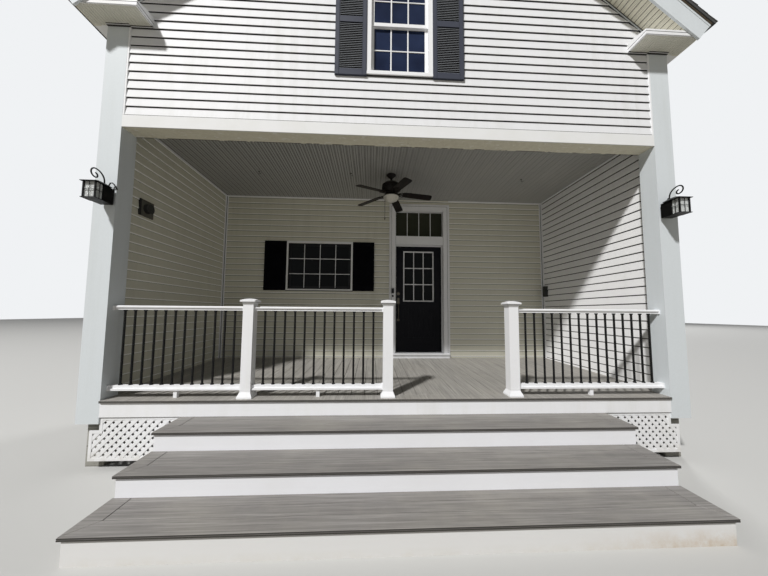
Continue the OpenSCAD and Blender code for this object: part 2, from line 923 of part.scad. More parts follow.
// The upper window has two sashes: the upper one slides in front of the lower one
module upper_window_frame() {
  edge = window_frame_w - cut;
  half_w = high_window_w / 2;
  low_top = (high_window_h + sash_rail_h) / 2;
  ring_w = sash_w + cut;
  color("white") at_face() translate([0, siding_set_back, high_window_z]) {
    window_frame(high_window_w, high_window_h);
    difference() {
      union() {
        block(
          [edge - half_w, sash_y, high_window_h - low_top],
          [half_w - edge, sash_y + sash_t, high_window_h - edge]
        );
        block(
          [edge - half_w, sash_y + sash_t - cut, edge],
          [half_w - edge, sash_y + 2 * sash_t, low_top]
        );
      }
      block(
        [edge + ring_w - half_w, sash_y - cut, low_top],
        [half_w - edge - ring_w, sash_y + 2 * sash_t + cut, high_window_h - edge - ring_w]
      );
      block(
        [edge + ring_w - half_w, sash_y - cut, edge + ring_w],
        [half_w - edge - ring_w, sash_y + 2 * sash_t + cut, high_window_h - low_top]
      );
    }
  }
}

// A louvred shutter: frame, middle rails and tilted slats, its back against the wall at y = 0
module shutter(w, h, fields) {
  t = siding_set_back + shutter_proud;
  stile = shutter_stile_w;
  rail = stile * 1.4;
  field_h = (h - rail * (fields + 1)) / fields;
  slats = floor(field_h / louvre_pitch);
  slat_d = louvre_pitch * 1.15;
  slat_tilt = 50;
  louvre_t = 7;
  difference() {
    block([-w / 2, -t, 0], [w / 2, 0, h]);
    for (f = [0 : fields - 1])
      block(
        [-w / 2 + stile, -t - cut, rail + f * (field_h + rail)],
        [w / 2 - stile, cut, rail + f * (field_h + rail) + field_h]
      );
  }
  for (f = [0 : fields - 1], s = [0 : slats - 1])
    translate([0, -t / 2, rail + f * (field_h + rail) + (s + 0.5) * field_h / slats])
      rotate([slat_tilt, 0, 0])
        cube([w - 2 * stile + 2 * cut, slat_d, louvre_t], center = true);
}

module lower_shutters() {
  color("black") at_face()
    for (side = [-1, 1])
      translate([
        low_window_x + side * (low_window_w + low_shutter_w) / 2, porch_depth,
        low_window_z - low_shutter_lap
      ])
        shutter(low_shutter_w, low_window_h + 2 * low_shutter_lap, 1);
}

module upper_shutters() {
  color("black") at_face()
    for (side = [-1, 1])
      translate([
        side * (high_window_w + high_shutter_w) / 2, siding_set_back,
        high_window_z - high_shutter_lap
      ])
        shutter(high_shutter_w, high_window_h + 2 * high_shutter_lap, 2);
}

// A block with a square plan that narrows from w0 at its foot to w1 at its top
module square_taper(w0, w1, h) {
  reach = max(w0, w1) / 2;
  intersection() {
    front_prism(-reach, reach) polygon([[-w0 / 2, 0], [w0 / 2, 0], [w1 / 2, h], [-w1 / 2, h]]);
    side_prism(-reach, reach) polygon([[-w0 / 2, 0], [w0 / 2, 0], [w1 / 2, h], [-w1 / 2, h]]);
  }
}

// A square post with a flared skirt, a collar under its cap and a domed cap
module rail_post(x) {
  bury = 20;
  skirt_w = post_w + 46;
  skirt_h = 46;
  plinth_h = 16;
  cap_w = post_w + 50;
  brim_h = 14;
  dome_h = 22;
  dome_reach = cap_w / sqrt(2);
  dome_r = (dome_reach * dome_reach + dome_h * dome_h) / (2 * dome_h);
  collar_h = 34;
  cap_z = post_h - brim_h - dome_h;
  difference() {
    translate([x, rail_y, deck_h]) {
      translate([-post_w / 2, -post_w / 2, -bury]) cube([post_w, post_w, cap_z + bury + cut]);
      translate([-skirt_w / 2, -skirt_w / 2, -bury]) cube([skirt_w, skirt_w, plinth_h + bury]);
      translate([0, 0, plinth_h]) square_taper(skirt_w, post_w + 2 * cut, skirt_h);
      translate([0, 0, cap_z - collar_h]) square_taper(post_w + 2 * cut, post_w + 22, collar_h);
      translate([-cap_w / 2, -cap_w / 2, cap_z]) cube([cap_w, cap_w, brim_h]);
      intersection() {
        translate([-cap_w / 2 + cut, -cap_w / 2 + cut, cap_z])
          cube([cap_w - 2 * cut, cap_w - 2 * cut, brim_h + dome_h + cut]);
        translate([0, 0, cap_z + brim_h + dome_h - dome_r]) sphere(r = dome_r);
      }
    }
    below_deck();
  }
}

post_places = [left_post_x, middle_post_x, right_post_x];

module rail_posts() {
  color("white") at_face() for (x = post_places) rail_post(x);
}

// Clear spans between posts and walls: left bay, middle bay, right bay
rail_spans = [
  [-half_opening, left_post_x - post_w / 2],
  [left_post_x + post_w / 2, middle_post_x - post_w / 2],
  [right_post_x + post_w / 2, half_opening]
];
rail_deck = deck_top(rail_y);
rail_core_d = rail_d * 0.62;

// A rail along a span: the whole depth between two heights
module rail_bar(span, low, high, depth) {
  block([span[0], rail_y - depth / 2, low], [span[1], rail_y + depth / 2, high]);
}

// A broad hand rail with bevelled upper edges on a narrower board
module top_rails() {
  high = rail_deck + rail_top;
  low = high - top_rail_h;
  lip = high - top_rail_h * 0.45;
  bevel = 7;
  half_d = rail_d / 2;
  color("white") at_face()
    for (span = rail_spans) {
      rail_bar(span, low, high - bevel, rail_core_d);
      side_prism(span[0], span[1])
        polygon([
          [rail_y - half_d, lip], [rail_y + half_d, lip], [rail_y + half_d, high - bevel],
          [rail_y + half_d - bevel, high], [rail_y - half_d + bevel, high],
          [rail_y - half_d, high - bevel]
        ]);
    }
}

// A stepped bottom rail with a foot in the middle of each span
module bottom_rails() {
  foot_w = 36;
  shelf_h = bottom_rail_h * 0.4;
  low = rail_deck + rail_clear;
  high = low + bottom_rail_h;
  color("white") at_face()
    for (span = rail_spans) {
      rail_bar(span, low, high, rail_core_d);
      rail_bar(span, low, low + shelf_h, rail_d);
      difference() {
        translate([(span[0] + span[1]) / 2, rail_y, deck_h])
          translate([-foot_w / 2, -foot_w / 2, 0]) cube([foot_w, foot_w, rail_clear + deck_fall / 2]);
        below_deck();
      }
    }
}

module balusters() {
  low = rail_deck + rail_clear + bottom_rail_h;
  high = rail_deck + rail_top - top_rail_h;
  color("black") at_face()
    for (span = rail_spans) {
      length = span[1] - span[0];
      bays = ceil(length / baluster_pitch);
      for (i = [1 : bays - 1])
        translate([span[0] + i * length / bays, rail_y, low]) cylinder(h = high - low, d = baluster_d);
    }
}

lantern_x = half_opening + lantern_edge;
lantern_z = deck_h + lantern_h;
lantern_bar = 12;
lantern_roof_lip = 16;
lantern_roof_h = 46;
iron_r = 6.5;
curl_r = 96;
loop_r = 44;
tip_r = 22;

// A bent round bar in the upright plane that runs out from the post: u forwards, z up
module iron_arc(u, z, radius, from, to) {
  rotate([90, 0, -90]) translate([u, z, 0]) rotate(from)
    rotate_extrude(angle = to - from) translate([radius, 0]) circle(r = iron_r, $fn = 24);
}

// Lantern drawn around the middle of its cage's height, at the post's face
module lantern_frame() {
  w = lantern_w;
  half_h = lantern_cage_h / 2;
  front = -lantern_reach;
  back = front + lantern_d;
  rear = -20;
  roof_short = 35;
  roof_rear = rear - roof_short;
  lip = lantern_roof_lip;
  roof_top = half_h + lantern_roof_h;
  arm_z = half_h * 0.5;
  plate_t = 12;
  plate_r = 44;
  tray_lip = 8;
  tray_t = 6;
  brim_t = 5;
  crest_l = 76;
  crest_half = 8;
  curl_rise = 12;
  arm_half = 9;
  block([-w / 2 - tray_lip, front - tray_lip, -half_h - tray_t], [w / 2 + tray_lip, back, -half_h]);
  for (sx = [-1, 1])
    for (y = [front, back - lantern_bar])
      translate([sx * (w - lantern_bar) / 2 - lantern_bar / 2, y, -half_h - cut])
        cube([lantern_bar, lantern_bar, 2 * half_h + 2 * cut]);
  block([-w / 2, back, -half_h - tray_t], [w / 2, rear, half_h]);
  hull() {
    block([-w / 2 - lip, front - lip, half_h], [w / 2 + lip, roof_rear, half_h + brim_t]);
    block([-crest_half, roof_rear - crest_l, half_h], [crest_half, roof_rear, roof_top]);
  }
  curl_y = roof_rear - crest_half;
  curl_u = -curl_y + curl_r;
  curl_z = roof_top + curl_rise;
  translate([0, curl_y, roof_top - cut]) cylinder(h = curl_rise + cut, r = iron_r);
  iron_arc(curl_u, curl_z, curl_r, 180, 90);
  iron_arc(curl_u, curl_z + curl_r - loop_r, loop_r, 90, -90);
  iron_arc(curl_u, curl_z + curl_r - 2 * loop_r + tip_r, tip_r, -90, -270);
  translate([0, 0, arm_z]) rotate([90, 0, 0]) cylinder(h = plate_t, r = plate_r);
  block([-arm_half, rear - cut, arm_z - arm_half], [arm_half, cut - plate_t, arm_z + arm_half]);
}

module lanterns() {
  color("black") at_face() both_sides() translate([lantern_x, 0, lantern_z]) lantern_frame();
}

// Clear glass standing inside the bars of each cage
module lantern_glass() {
  w = lantern_w - 2 * lantern_bar - 2 * joint_gap;
  d = lantern_d - lantern_bar - joint_gap;
  wall = 3;
  color("lightyellow", 0.5) at_face() both_sides()
    translate([lantern_x - w / 2, lantern_bar - lantern_reach, lantern_z - lantern_cage_h / 2])
      difference() {
        cube([w, d, lantern_cage_h]);
        translate([wall, wall, -cut]) cube([w - 2 * wall, d - 2 * wall, lantern_cage_h + 2 * cut]);
      }
}

// A block behind a round outlet on the left wall, and a small meter box on the right wall
module wall_fittings() {
  outlet_w = 200;
  outlet_y = 385;
  outlet_z = 2730;
  box_w = 80;
  box_h = 200;
  box_d = 62;
  box_y = porch_depth - 150;
  box_z = 1910;
  plate_t = 28;
  cap_r = 58;
  cap_d = 46;
  color("gainsboro") at_face() {
    block(
      [-half_room, outlet_y, outlet_z],
      [plate_t - half_room, outlet_y + outlet_w, outlet_z + outlet_w]
    );
    translate([plate_t - half_room - cut, outlet_y + outlet_w / 2, outlet_z + outlet_w / 2])
      rotate([0, 90, 0]) cylinder(h = cap_d + cut, r = cap_r);
    block([half_room - box_d, box_y, box_z], [half_room, box_y + box_w, box_z + box_h]);
  }
}

// Bell push on the casing left of the door, with a small plate below it
module door_bell() {
  bell_w = 46;
  bell_h = 96;
  bell_t = 22;
  bell_z = 1950;
  bell_x = door_x - (door_opening_w + casing_w) / 2;
  plate_w = 30;
  plate_h = 40;
  plate_drop = 70;
  button_t = 5;
  button_z = bell_z + 0.3 * bell_h;
  color("black") at_face() {
    block(
      [bell_x - bell_w / 2, casing_front_y - bell_t, bell_z],
      [bell_x + bell_w / 2, casing_front_y, bell_z + bell_h]
    );
    translate([bell_x, casing_front_y - bell_t + cut, button_z])
      rotate([90, 0, 0]) cylinder(h = button_t, r = bell_w / 3);
    block(
      [bell_x - plate_w / 2, casing_front_y - button_t, bell_z - plate_drop],
      [bell_x + plate_w / 2, casing_front_y, bell_z - plate_drop + plate_h]
    );
  }
}

// Levels of the fan, from the ceiling down
motor_top = ceiling_z - fan_drop;
motor_bottom = motor_top - motor_h;
hub_top = motor_bottom - 5;
hub_t = 22;
hub_bottom = hub_top - hub_t;
hub_r = 95;
stem_r = 22;
kit_top = hub_bottom - joint_gap;
kit_h = 34;
kit_r = 62;
bowl_r = 124;
bowl_h = 95;

module fan_mount() {
  canopy_r = 76;
  rod_r = 13;
  color("dimgray") at_face() translate([0, fan_y, 0])
    rotate_extrude()
      polygon([
        [0, ceiling_z], [canopy_r, ceiling_z], [canopy_r, ceiling_z - 18], [rod_r + 14, ceiling_z - 66],
        [rod_r, ceiling_z - 66], [rod_r, motor_top + 26], [rod_r + 22, motor_top + 14],
        [motor_r - 36, motor_top], [motor_r, motor_top - 34], [motor_r, motor_bottom + 38],
        [motor_r - 40, motor_bottom], [stem_r, motor_bottom], [stem_r, kit_top],
        [kit_r, kit_top], [kit_r, kit_top - kit_h], [0, kit_top - kit_h]
      ]);
}

iron_w = 34;
iron_t = 6;
blade_t = 7;

// Places a piece on every blade arm, tilted about the arm's own line
module on_arms() {
  translate([0, fan_y, hub_bottom + hub_t / 2])
    for (i = [0 : blade_count - 1])
      rotate(i * 360 / blade_count) rotate([blade_tilt, 0, 0]) children();
}

module fan_hub() {
  iron_end = 250;
  color("dimgray") at_face() {
    difference() {
      translate([0, fan_y, hub_bottom]) cylinder(h = hub_t, r = hub_r);
      translate([0, fan_y, hub_bottom - cut])
        cylinder(h = hub_t + 2 * cut, r = stem_r + pin_clearance);
    }
    on_arms() block([hub_r - 12, -iron_w / 2, -iron_t], [iron_end, iron_w / 2, 0]);
  }
}

module fan_blades() {
  root_r = 175;
  color("saddlebrown") at_face()
    on_arms() block([root_r, -blade_w / 2, 0], [fan_r, blade_w / 2, blade_t]);
}

module fan_light() {
  top = kit_top - kit_h;
  color("ivory") at_face() translate([0, fan_y, top])
    rotate_extrude()
      polygon([
        [0, 0], [bowl_r - 14, 0], [bowl_r, -14], [bowl_r - 4, -32], [bowl_r * 0.8, -bowl_h * 0.66],
        [bowl_r * 0.45, -bowl_h * 0.92], [0, -bowl_h]
      ]);
}

foundation_sides();
foundation_back();
deck_piers();
deck_joists();
deck_rim();
deck_boards();
step_frames();
treads();
lattice_left();
lattice_right();
corner_posts();
header_beam();
side_walls();
back_wall_left();
back_wall_right();
back_wall_over_door();
door_sill();
porch_ceiling();
upper_floor();
gable_wall();
rear_gable_wall();
roof_slopes();
ridge_board();
shingles();
ridge_cap();
rake_boards();
rake_soffits();
eave_boards();
cornice_returns();
door_frame();
window_glass();
entry_door();
door_glass();
door_handle();
door_hinges();
lower_window_frame();
upper_window_frame();
lower_shutters();
upper_shutters();
rail_posts();
top_rails();
bottom_rails();
balusters();
lanterns();
lantern_glass();
fan_mount();
fan_hub();
fan_blades();
fan_light();
wall_fittings();
door_bell();
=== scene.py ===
"""Looks of the front porch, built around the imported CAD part. Lengths are in metres, in the row's frame."""

import random
from math import ceil, cos, floor, pi, radians, sin, tan, tau

import bmesh
import bpy
from mathutils import Matrix, Vector


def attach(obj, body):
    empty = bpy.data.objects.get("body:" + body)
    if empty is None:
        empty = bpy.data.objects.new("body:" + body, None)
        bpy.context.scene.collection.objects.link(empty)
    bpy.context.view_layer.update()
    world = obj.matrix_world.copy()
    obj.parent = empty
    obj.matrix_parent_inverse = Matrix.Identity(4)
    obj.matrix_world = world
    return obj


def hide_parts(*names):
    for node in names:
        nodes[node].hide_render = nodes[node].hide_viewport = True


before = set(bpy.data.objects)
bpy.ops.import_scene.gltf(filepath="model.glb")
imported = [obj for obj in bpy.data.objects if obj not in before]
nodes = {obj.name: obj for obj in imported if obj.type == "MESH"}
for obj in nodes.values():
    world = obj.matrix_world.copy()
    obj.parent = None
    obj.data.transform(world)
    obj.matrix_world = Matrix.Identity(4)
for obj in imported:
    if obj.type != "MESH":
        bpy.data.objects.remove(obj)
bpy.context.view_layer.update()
rng = random.Random(7)
scene = bpy.context.scene

# Places taken from the CAD part
FACE_Y = -0.700
GABLE_Y = FACE_Y + 0.018
ROOM_FRONT = FACE_Y + 0.195
BACK_Y = 1.610
REAR_Y = 1.750
HALF_OPENING = 3.004
HALF_HOUSE = 3.229
HALF_ROOM = 3.100
FOUNDATION_Z = 0.450
HEADER_BOTTOM = 3.558
HEADER_TOP = 3.691
CEILING_Z = 3.811
SOFFIT_Z = 4.721
EAVE_X = 3.390
PITCH = radians(39.8)
ROOF_RISE = tan(PITCH)
ROOF_T = 0.168
SHINGLE_T = 0.042
SHINGLE_LIP = 0.030
FASCIA_T = 0.022
RAKE_Y = FACE_Y - 0.215
RAKE_SOFFIT_T = 0.052
RETURN_L = 0.640
BOARD_T = 0.024
NOSING = 0.016
PLANK = 0.140
PLANK_GAP = 0.005
DECK_Z = 0.679
DECK_FALL = 0.018917
DOOR_X = 0.627
DOOR_FACE_Y = REAR_Y - 0.044
CASING_Y = BACK_Y - 0.026
CASING_HALF = 0.577
CASING_TOP = 3.704
CASING = (DOOR_X - CASING_HALF, DOOR_X + CASING_HALF, 0, CASING_TOP)
TRANSOM = (DOOR_X - 0.462, DOOR_X + 0.462, 3.074, 3.574)
DOOR_LITE = (DOOR_X - 0.3065, DOOR_X + 0.3065, 1.797, 2.803)
STEP_X = 0.018
STEP_HALF = 2.217
TREAD_RUN = 0.350
TREAD_TOPS = (0.184, 0.349, 0.514)
RIM_BOTTOM = 0.514
LATTICE_BACK_LAYER = FACE_Y + 0.0195
RAIL_Y = FACE_Y + 0.092
POSTS = (-1.605, -0.113, 1.280)
RAIL_SPANS = ((-3.004, -1.659), (-1.551, -0.167), (1.334, 3.004))
BALUSTER_PITCH = 0.107
# An opening is its left and right end, its foot and its top
LOW_WINDOW = (-1.923, -0.667, 1.992, 2.927)
HIGH_WINDOW = (-0.380, 0.380, 4.281, 5.591)
WINDOW_FRAME_W = 0.048
SASH_W = 0.034
SHOWN_FRAME = 0.034
SHOWN_FOOT = 0.024
FAN_X, FAN_Y, HUB_Z = 0, 0.640, 3.495
LAP = 0.108
LAP_FOOT = 0.7495
GABLE_LAP = 0.1016
GABLE_FOOT = 3.5934
BEAD_PITCH = 0.0827
SIDES = (-1, 1)


def deck_top(y):
    """Height of the sloping deck at a depth."""
    return DECK_Z + (y - FACE_Y + NOSING) * DECK_FALL


def roof_z(x):
    """Height of the roof's underside."""
    return SOFFIT_Z + (EAVE_X - abs(x)) * ROOF_RISE


def roof_x(z):
    """Half width of the gable under the roof at a height."""
    return EAVE_X - (z - SOFFIT_Z) / ROOF_RISE


# Mesh building
BOX_FACES = ((0, 2, 3, 1), (4, 5, 7, 6), (0, 1, 5, 4), (1, 3, 7, 5), (3, 2, 6, 7), (2, 0, 4, 6))


class Shape:
    """Collects the faces of one piece."""

    def __init__(self):
        self.verts = []
        self.faces = []
        self.marks = {}

    def add(self, verts, faces):
        start = len(self.verts)
        self.verts += [tuple(v) for v in verts]
        self.faces += [tuple(start + i for i in f) for f in faces]
        return self

    def mark(self, number, last, picks=None):
        """Gives the last faces, or picks among them, a further look of the piece, counted from 1."""
        for pick in range(last) if picks is None else picks:
            self.marks[len(self.faces) - last + pick] = number
        return self

    def box(self, a, b):
        """A block between two opposite corners."""
        xs, ys, zs = (sorted(pair) for pair in zip(a, b))
        return self.add([(x, y, z) for z in zs for y in ys for x in xs], BOX_FACES)

    def prism(self, outline, place, a, b):
        """An outline of (u, v) points pushed from a to b; place(u, v, w) gives the point."""
        n = len(outline)
        verts = [place(u, v, w) for w in (a, b) for u, v in outline]
        sides = [(i, (i + 1) % n, n + (i + 1) % n, n + i) for i in range(n)]
        return self.add(verts, [tuple(range(n))[::-1], tuple(range(n, 2 * n))] + sides)

    def along_x(self, outline, a, b):
        return self.prism(outline, lambda u, v, w: (w, u, v), a, b)

    def along_y(self, outline, a, b):
        return self.prism(outline, lambda u, v, w: (u, w, v), a, b)

    def along_z(self, outline, a, b):
        return self.prism(outline, lambda u, v, w: (u, v, w), a, b)

    def ring(self, place, x0, x1, z0, z1, width, a, b):
        """A flat rectangular ring between depths a and b."""
        outer, inner = (
            [(x0 + w, z0 + w), (x1 - w, z0 + w), (x1 - w, z1 - w), (x0 + w, z1 - w)] for w in (0, width)
        )
        for i in range(4):
            j = (i + 1) % 4
            self.prism([outer[i], outer[j], inner[j], inner[i]], place, a, b)
        return self

    def band(self, x, y, half_x, half_y, z0, z1, width=0.004):
        """A level ring around the upright through (x, y)."""
        return self.ring(
            lambda u, v, w: (u, v, w), x - half_x, x + half_x, y - half_y, y + half_y, width, z0, z1
        )

    def skin(self, verts, sides, closed=False, ends=True):
        """Faces between rings of points that have the same number of sides."""
        rings = len(verts) // sides
        faces = []
        for i in range(rings if closed else rings - 1):
            a, b = i * sides, (i + 1) % rings * sides
            faces += [(a + s, a + (s + 1) % sides, b + (s + 1) % sides, b + s) for s in range(sides)]
        if ends and not closed:
            faces += [tuple(range(sides))[::-1], tuple(range(len(verts) - sides, len(verts)))]
        return self.add(verts, faces)

    def tube(self, path, radius, closed=False, sides=8):
        """A round bar along a path."""
        path = [Vector(p) for p in path]
        last = len(path) - 1
        turns = [tau * s / sides for s in range(sides)]
        side = None
        verts = []
        for i, p in enumerate(path):
            before = path[i - 1] if i or closed else p
            after = path[(i + 1) % len(path)] if i < last or closed else p
            along = (after - before).normalized()
            if side is None:
                side = along.orthogonal().normalized()
            side = (side - along * side.dot(along)).normalized()
            up = along.cross(side)
            verts += [p + (side * cos(t) + up * sin(t)) * radius for t in turns]
        return self.skin(verts, sides, closed)

    def lathe(self, profile, centre, sides, ends=True):
        """(radius, height) points turned about an upright axis through centre."""
        x, y, z = centre
        turns = [tau * s / sides for s in range(sides)]
        verts = [(x + r * cos(t), y + r * sin(t), z + h) for r, h in profile for t in turns]
        return self.skin(verts, sides, ends=ends)

    def turned(self, matrix, build):
        """Adds what build(shape) makes, moved by a matrix."""
        part = Shape()
        build(part)
        return self.add([matrix @ Vector(v) for v in part.verts], part.faces)


def show(name, data):
    """Puts a mesh, lamp or camera into the scene."""
    made = bpy.data.objects.new(name, data)
    scene.collection.objects.link(made)
    return made


def soften(made, width, segments):
    """Rounds the edges of a piece or of a CAD node's picture."""
    mod = made.modifiers.new("edges", "BEVEL")
    mod.width = width
    mod.segments = segments
    mod.limit_method = "ANGLE"
    mod.angle_limit = radians(40)


def piece(name, shape, slot, *looks, body="house", bevel=0, segments=1, smooth=False, replaces=()):
    """Makes one piece and hands it to the frame. Marked faces take the looks after the first."""
    mesh = bpy.data.meshes.new(name)
    mesh.from_pydata(shape.verts, [], shape.faces)
    mesh.validate()
    fix = bmesh.new()
    fix.from_mesh(mesh)
    bmesh.ops.recalc_face_normals(fix, faces=fix.faces)
    fix.to_mesh(mesh)
    fix.free()
    made = show(name, mesh)
    for look in looks:
        mesh.materials.append(look)
    for index, number in shape.marks.items():
        mesh.polygons[index].material_index = number
    if smooth:
        mesh.shade_smooth()
        mesh.set_sharp_from_angle(angle=radians(35))
    if bevel:
        soften(made, bevel, segments)
    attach(made, body)
    if replaces:
        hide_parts(*replaces)


# Materials
def linear(code):
    """A colour written as #rrggbb, as the shader takes it."""
    parts = [c / 255 for c in bytes.fromhex(code[1:])]
    return tuple(c / 12.92 if c <= 0.04045 else ((c + 0.055) / 1.055) ** 2.4 for c in parts) + (1,)


class Graph:
    """A node tree. The calls return sockets, which feed the calls that follow. A value may be a number,
    a socket, a colour as #rrggbb, or the letter of an axis of the piece."""

    def __init__(self, tree):
        self.tree = tree

    def feed(self, socket, value):
        if isinstance(value, str) and value[0] == "#":
            value = linear(value)
        elif isinstance(value, str):
            value = self.node("SeparateXYZ", Vector=self.place).outputs["XYZ".index(value)]
        if isinstance(value, bpy.types.NodeSocket):
            self.tree.links.new(value, socket)
        else:
            socket.default_value = value

    def fill(self, sockets, **values):
        """Feeds inputs by their names, with _ for a space."""
        for key, value in values.items():
            self.feed(sockets[key.replace("_", " ")], value)

    def node(self, kind, **values):
        made = self.tree.nodes.new("ShaderNode" + kind)
        self.fill(made.inputs, **values)
        return made

    def math(self, kind, a, b=0):
        made = self.node("Math")
        made.operation = kind
        self.feed(made.inputs[0], a)
        self.feed(made.inputs[1], b)
        return made.outputs[0]

    def times(self, a, b):
        return self.math("MULTIPLY", a, b)

    def most(self, a, b):
        return self.math("MAXIMUM", a, b)

    def over(self, a, b):
        return self.math("GREATER_THAN", a, b)

    def under(self, a, b):
        return self.math("LESS_THAN", a, b)


class Look(Graph):
    """One material, whose textures sit in the coordinates of the piece."""

    def __init__(self, name, rough=0.5, specular=0.5, metal=0):
        self.mat = bpy.data.materials.new(name)
        self.mat.use_nodes = True
        super().__init__(self.mat.node_tree)
        self.place = self.node("TexCoord").outputs["Object"]
        self.shade(Roughness=rough, Metallic=metal, Specular_IOR_Level=specular)

    def shade(self, **values):
        self.fill(self.tree.nodes["Principled BSDF"].inputs, **values)

    def scaled(self, x, y, z):
        return self.node("Mapping", Vector=self.place, Scale=(x, y, z)).outputs["Vector"]

    def noise(self, scale, detail=3, rough=0.55, at=None, distort=0):
        return self.node(
            "TexNoise",
            Vector=at or self.place, Scale=scale, Detail=detail, Roughness=rough, Distortion=distort,
        ).outputs["Fac"]

    def grain(self, x, y, z, detail=4, rough=0.6, distort=0):
        """Noise with its own scale along each axis."""
        return self.noise(1, detail, rough, self.scaled(x, y, z), distort)

    def ramp(self, value, *stops):
        made = self.node("ValToRGB", Fac=value)
        bands = made.color_ramp.elements
        while len(bands) < len(stops):
            bands.new(0.5)
        for band, (at, tone) in zip(bands, stops):
            band.position = at
            band.color = linear(tone) if isinstance(tone, str) else (tone, tone, tone, 1)
        return made.outputs["Color"]

    def rise(self, value, low, high, top=1, foot=0):
        """Goes from a foot to a top while the value passes between two levels."""
        return self.ramp(value, (low, foot), (high, top))

    def spots(self, scale, detail, low, high, top=1, rough=0.55, foot=0):
        """Noise made to rise like that, for stains and wear."""
        return self.rise(self.noise(scale, detail, rough), low, high, top, foot)

    def mix(self, fac, a, b):
        made = self.node("Mix")
        made.data_type = "RGBA"
        for index, value in ((0, fac), (6, a), (7, b)):
            self.feed(made.inputs[index], value)
        return made.outputs[2]

    def done(self, colour, height, distance=0.001, strength=1):
        """Sets the colour and the relief, and gives the material."""
        bump = self.node("Bump", Height=height, Distance=distance, Strength=strength)
        self.shade(Base_Color=colour, Normal=bump.outputs["Normal"])
        return self.mat


def vinyl(name, clean, dusty, rough=0.55):
    """Vinyl with an embossed grain along the boards, faint cloudy soiling and rain streaks."""
    look = Look(name, rough, 0.2)
    streak = look.rise(look.grain(9, 9, 0.55), 0.45, 0.75)
    soil = look.times(look.spots(0.9, 4, 0.35, 0.8), streak)
    fleck = look.spots(55, 2, 0.3, 0.75, 0.35)
    dirt = look.math("ADD", look.times(soil, 0.75), look.times(fleck, 0.3))
    return look.done(look.mix(dirt, clean, dusty), look.grain(6, 6, 190, 5), 0.0006, 0.35)


def decking(name, along, light, middle, dark):
    """Composite boards: streaked grain along them, each board a little different, dust and scuffs."""
    look = Look(name, 0.62)
    stretch, across = {"x": ((1.4, 60, 60), "Y"), "y": ((60, 1.4, 60), "X")}[along]
    grain = look.grain(*stretch, 6, 0.62, 0.6)
    fine = look.grain(*(v * 4 for v in stretch), 3, 0.5)
    board = look.math("FLOOR", look.math("DIVIDE", across, PLANK + PLANK_GAP))
    cell = look.node("CombineXYZ", X=board).outputs[0]
    tone = look.node("TexWhiteNoise", Vector=cell).outputs["Value"]
    body = look.ramp(grain, (0.28, dark), (0.5, middle), (0.72, light))
    body = look.mix(look.times(tone, 0.22), body, dark)
    body = look.mix(look.rise(fine, 0.5, 0.9, 0.35), body, light)
    dusty = look.mix(look.spots(1.7, 5, 0.45, 0.85, 0.4, 0.65), body, "#b0aba0")
    return look.done(dusty, look.math("ADD", grain, look.times(fine, 0.4)), 0.0008, 0.6)


def coated(name, base, worn, rough, scale, specular, metal=0):
    """Paint or powder coat: slightly cloudy, worn lighter in flecks, with an orange-peel surface."""
    look = Look(name, rough, specular, metal)
    wear = look.times(look.spots(scale, 5, 0.52, 0.8, rough=0.65), 0.45)
    mixed = look.most(wear, look.spots(scale / 8, 3, 0.3, 0.8, 0.35))
    look.shade(Roughness=look.spots(scale / 2, 4, 0.3, 0.8, min(1, rough * 1.35), foot=rough * 0.8))
    return look.done(look.mix(mixed, base, worn), look.noise(scale * 14, 2), 0.0003, 0.4)


def brushed(name, base, dark, rough=0.3):
    """Bare metal with a fine brushed grain and a few dull spots."""
    look = Look(name, rough, metal=1)
    grain = look.grain(30, 30, 700, rough=0.7)
    look.shade(Roughness=look.rise(grain, 0.3, 0.7, rough * 1.4, rough * 0.8))
    metal = look.ramp(grain, (0.3, dark), (0.7, base))
    return look.done(look.mix(look.spots(30, 4, 0.5, 0.8, 0.8), metal, dark), grain, 0.0002, 0.4)


def sided_wall():
    """The flat walls behind and beside the porch: laps drawn in relief on the wall itself, with painted shade
    below each lap.
    """
    look = Look("sided_wall", 0.55, 0.2)
    part = look.math("FRACT", look.math("DIVIDE", look.math("SUBTRACT", "Z", LAP_FOOT), LAP))
    base = look.mix(look.spots(1.1, 4, 0.35, 0.8, 0.35), "#ecedf0", "#cdcdc8")
    shade = look.ramp(part, (0, 0.62), (0.035, 0.75), (0.07, 0), (1, 0))
    relief = look.ramp(part, (0, 0), (0.03, 0), (0.06, 1), (1, 0.25))
    return look.done(look.mix(shade, base, "#78797a"), relief, 0.012, 0.8)


def stained_riser():
    """White boards under the treads, splashed with earth at the foot and brown near the right end."""
    look = Look("riser", 0.55, 0.2)
    base = look.mix(look.spots(2.2, 4, 0.4, 0.8, 0.3), "#f0f1f5", "#e2e2e0")
    base = look.mix(look.rise("Z", 0.15, 0.17, 0, 0.8), base, "#e5e5e4")
    splash = look.times(look.rise("Z", 0, 0.06, 0, 1), look.spots(9, 5, 0.35, 0.7, rough=0.7))
    base = look.mix(look.times(splash, 0.25), base, "#ccc4ac")
    right = look.rise(look.math("DIVIDE", "X", 3), 0.35, 0.7)
    low = look.times(right, look.rise("Z", 0, 0.13, 0, 1))
    brown = look.times(low, look.spots(5, 6, 0.38, 0.62, rough=0.7))
    colour = look.mix(look.times(brown, 0.75), base, "#bca078")
    return look.done(colour, look.grain(4, 4, 120, 5), 0.0006, 0.35)


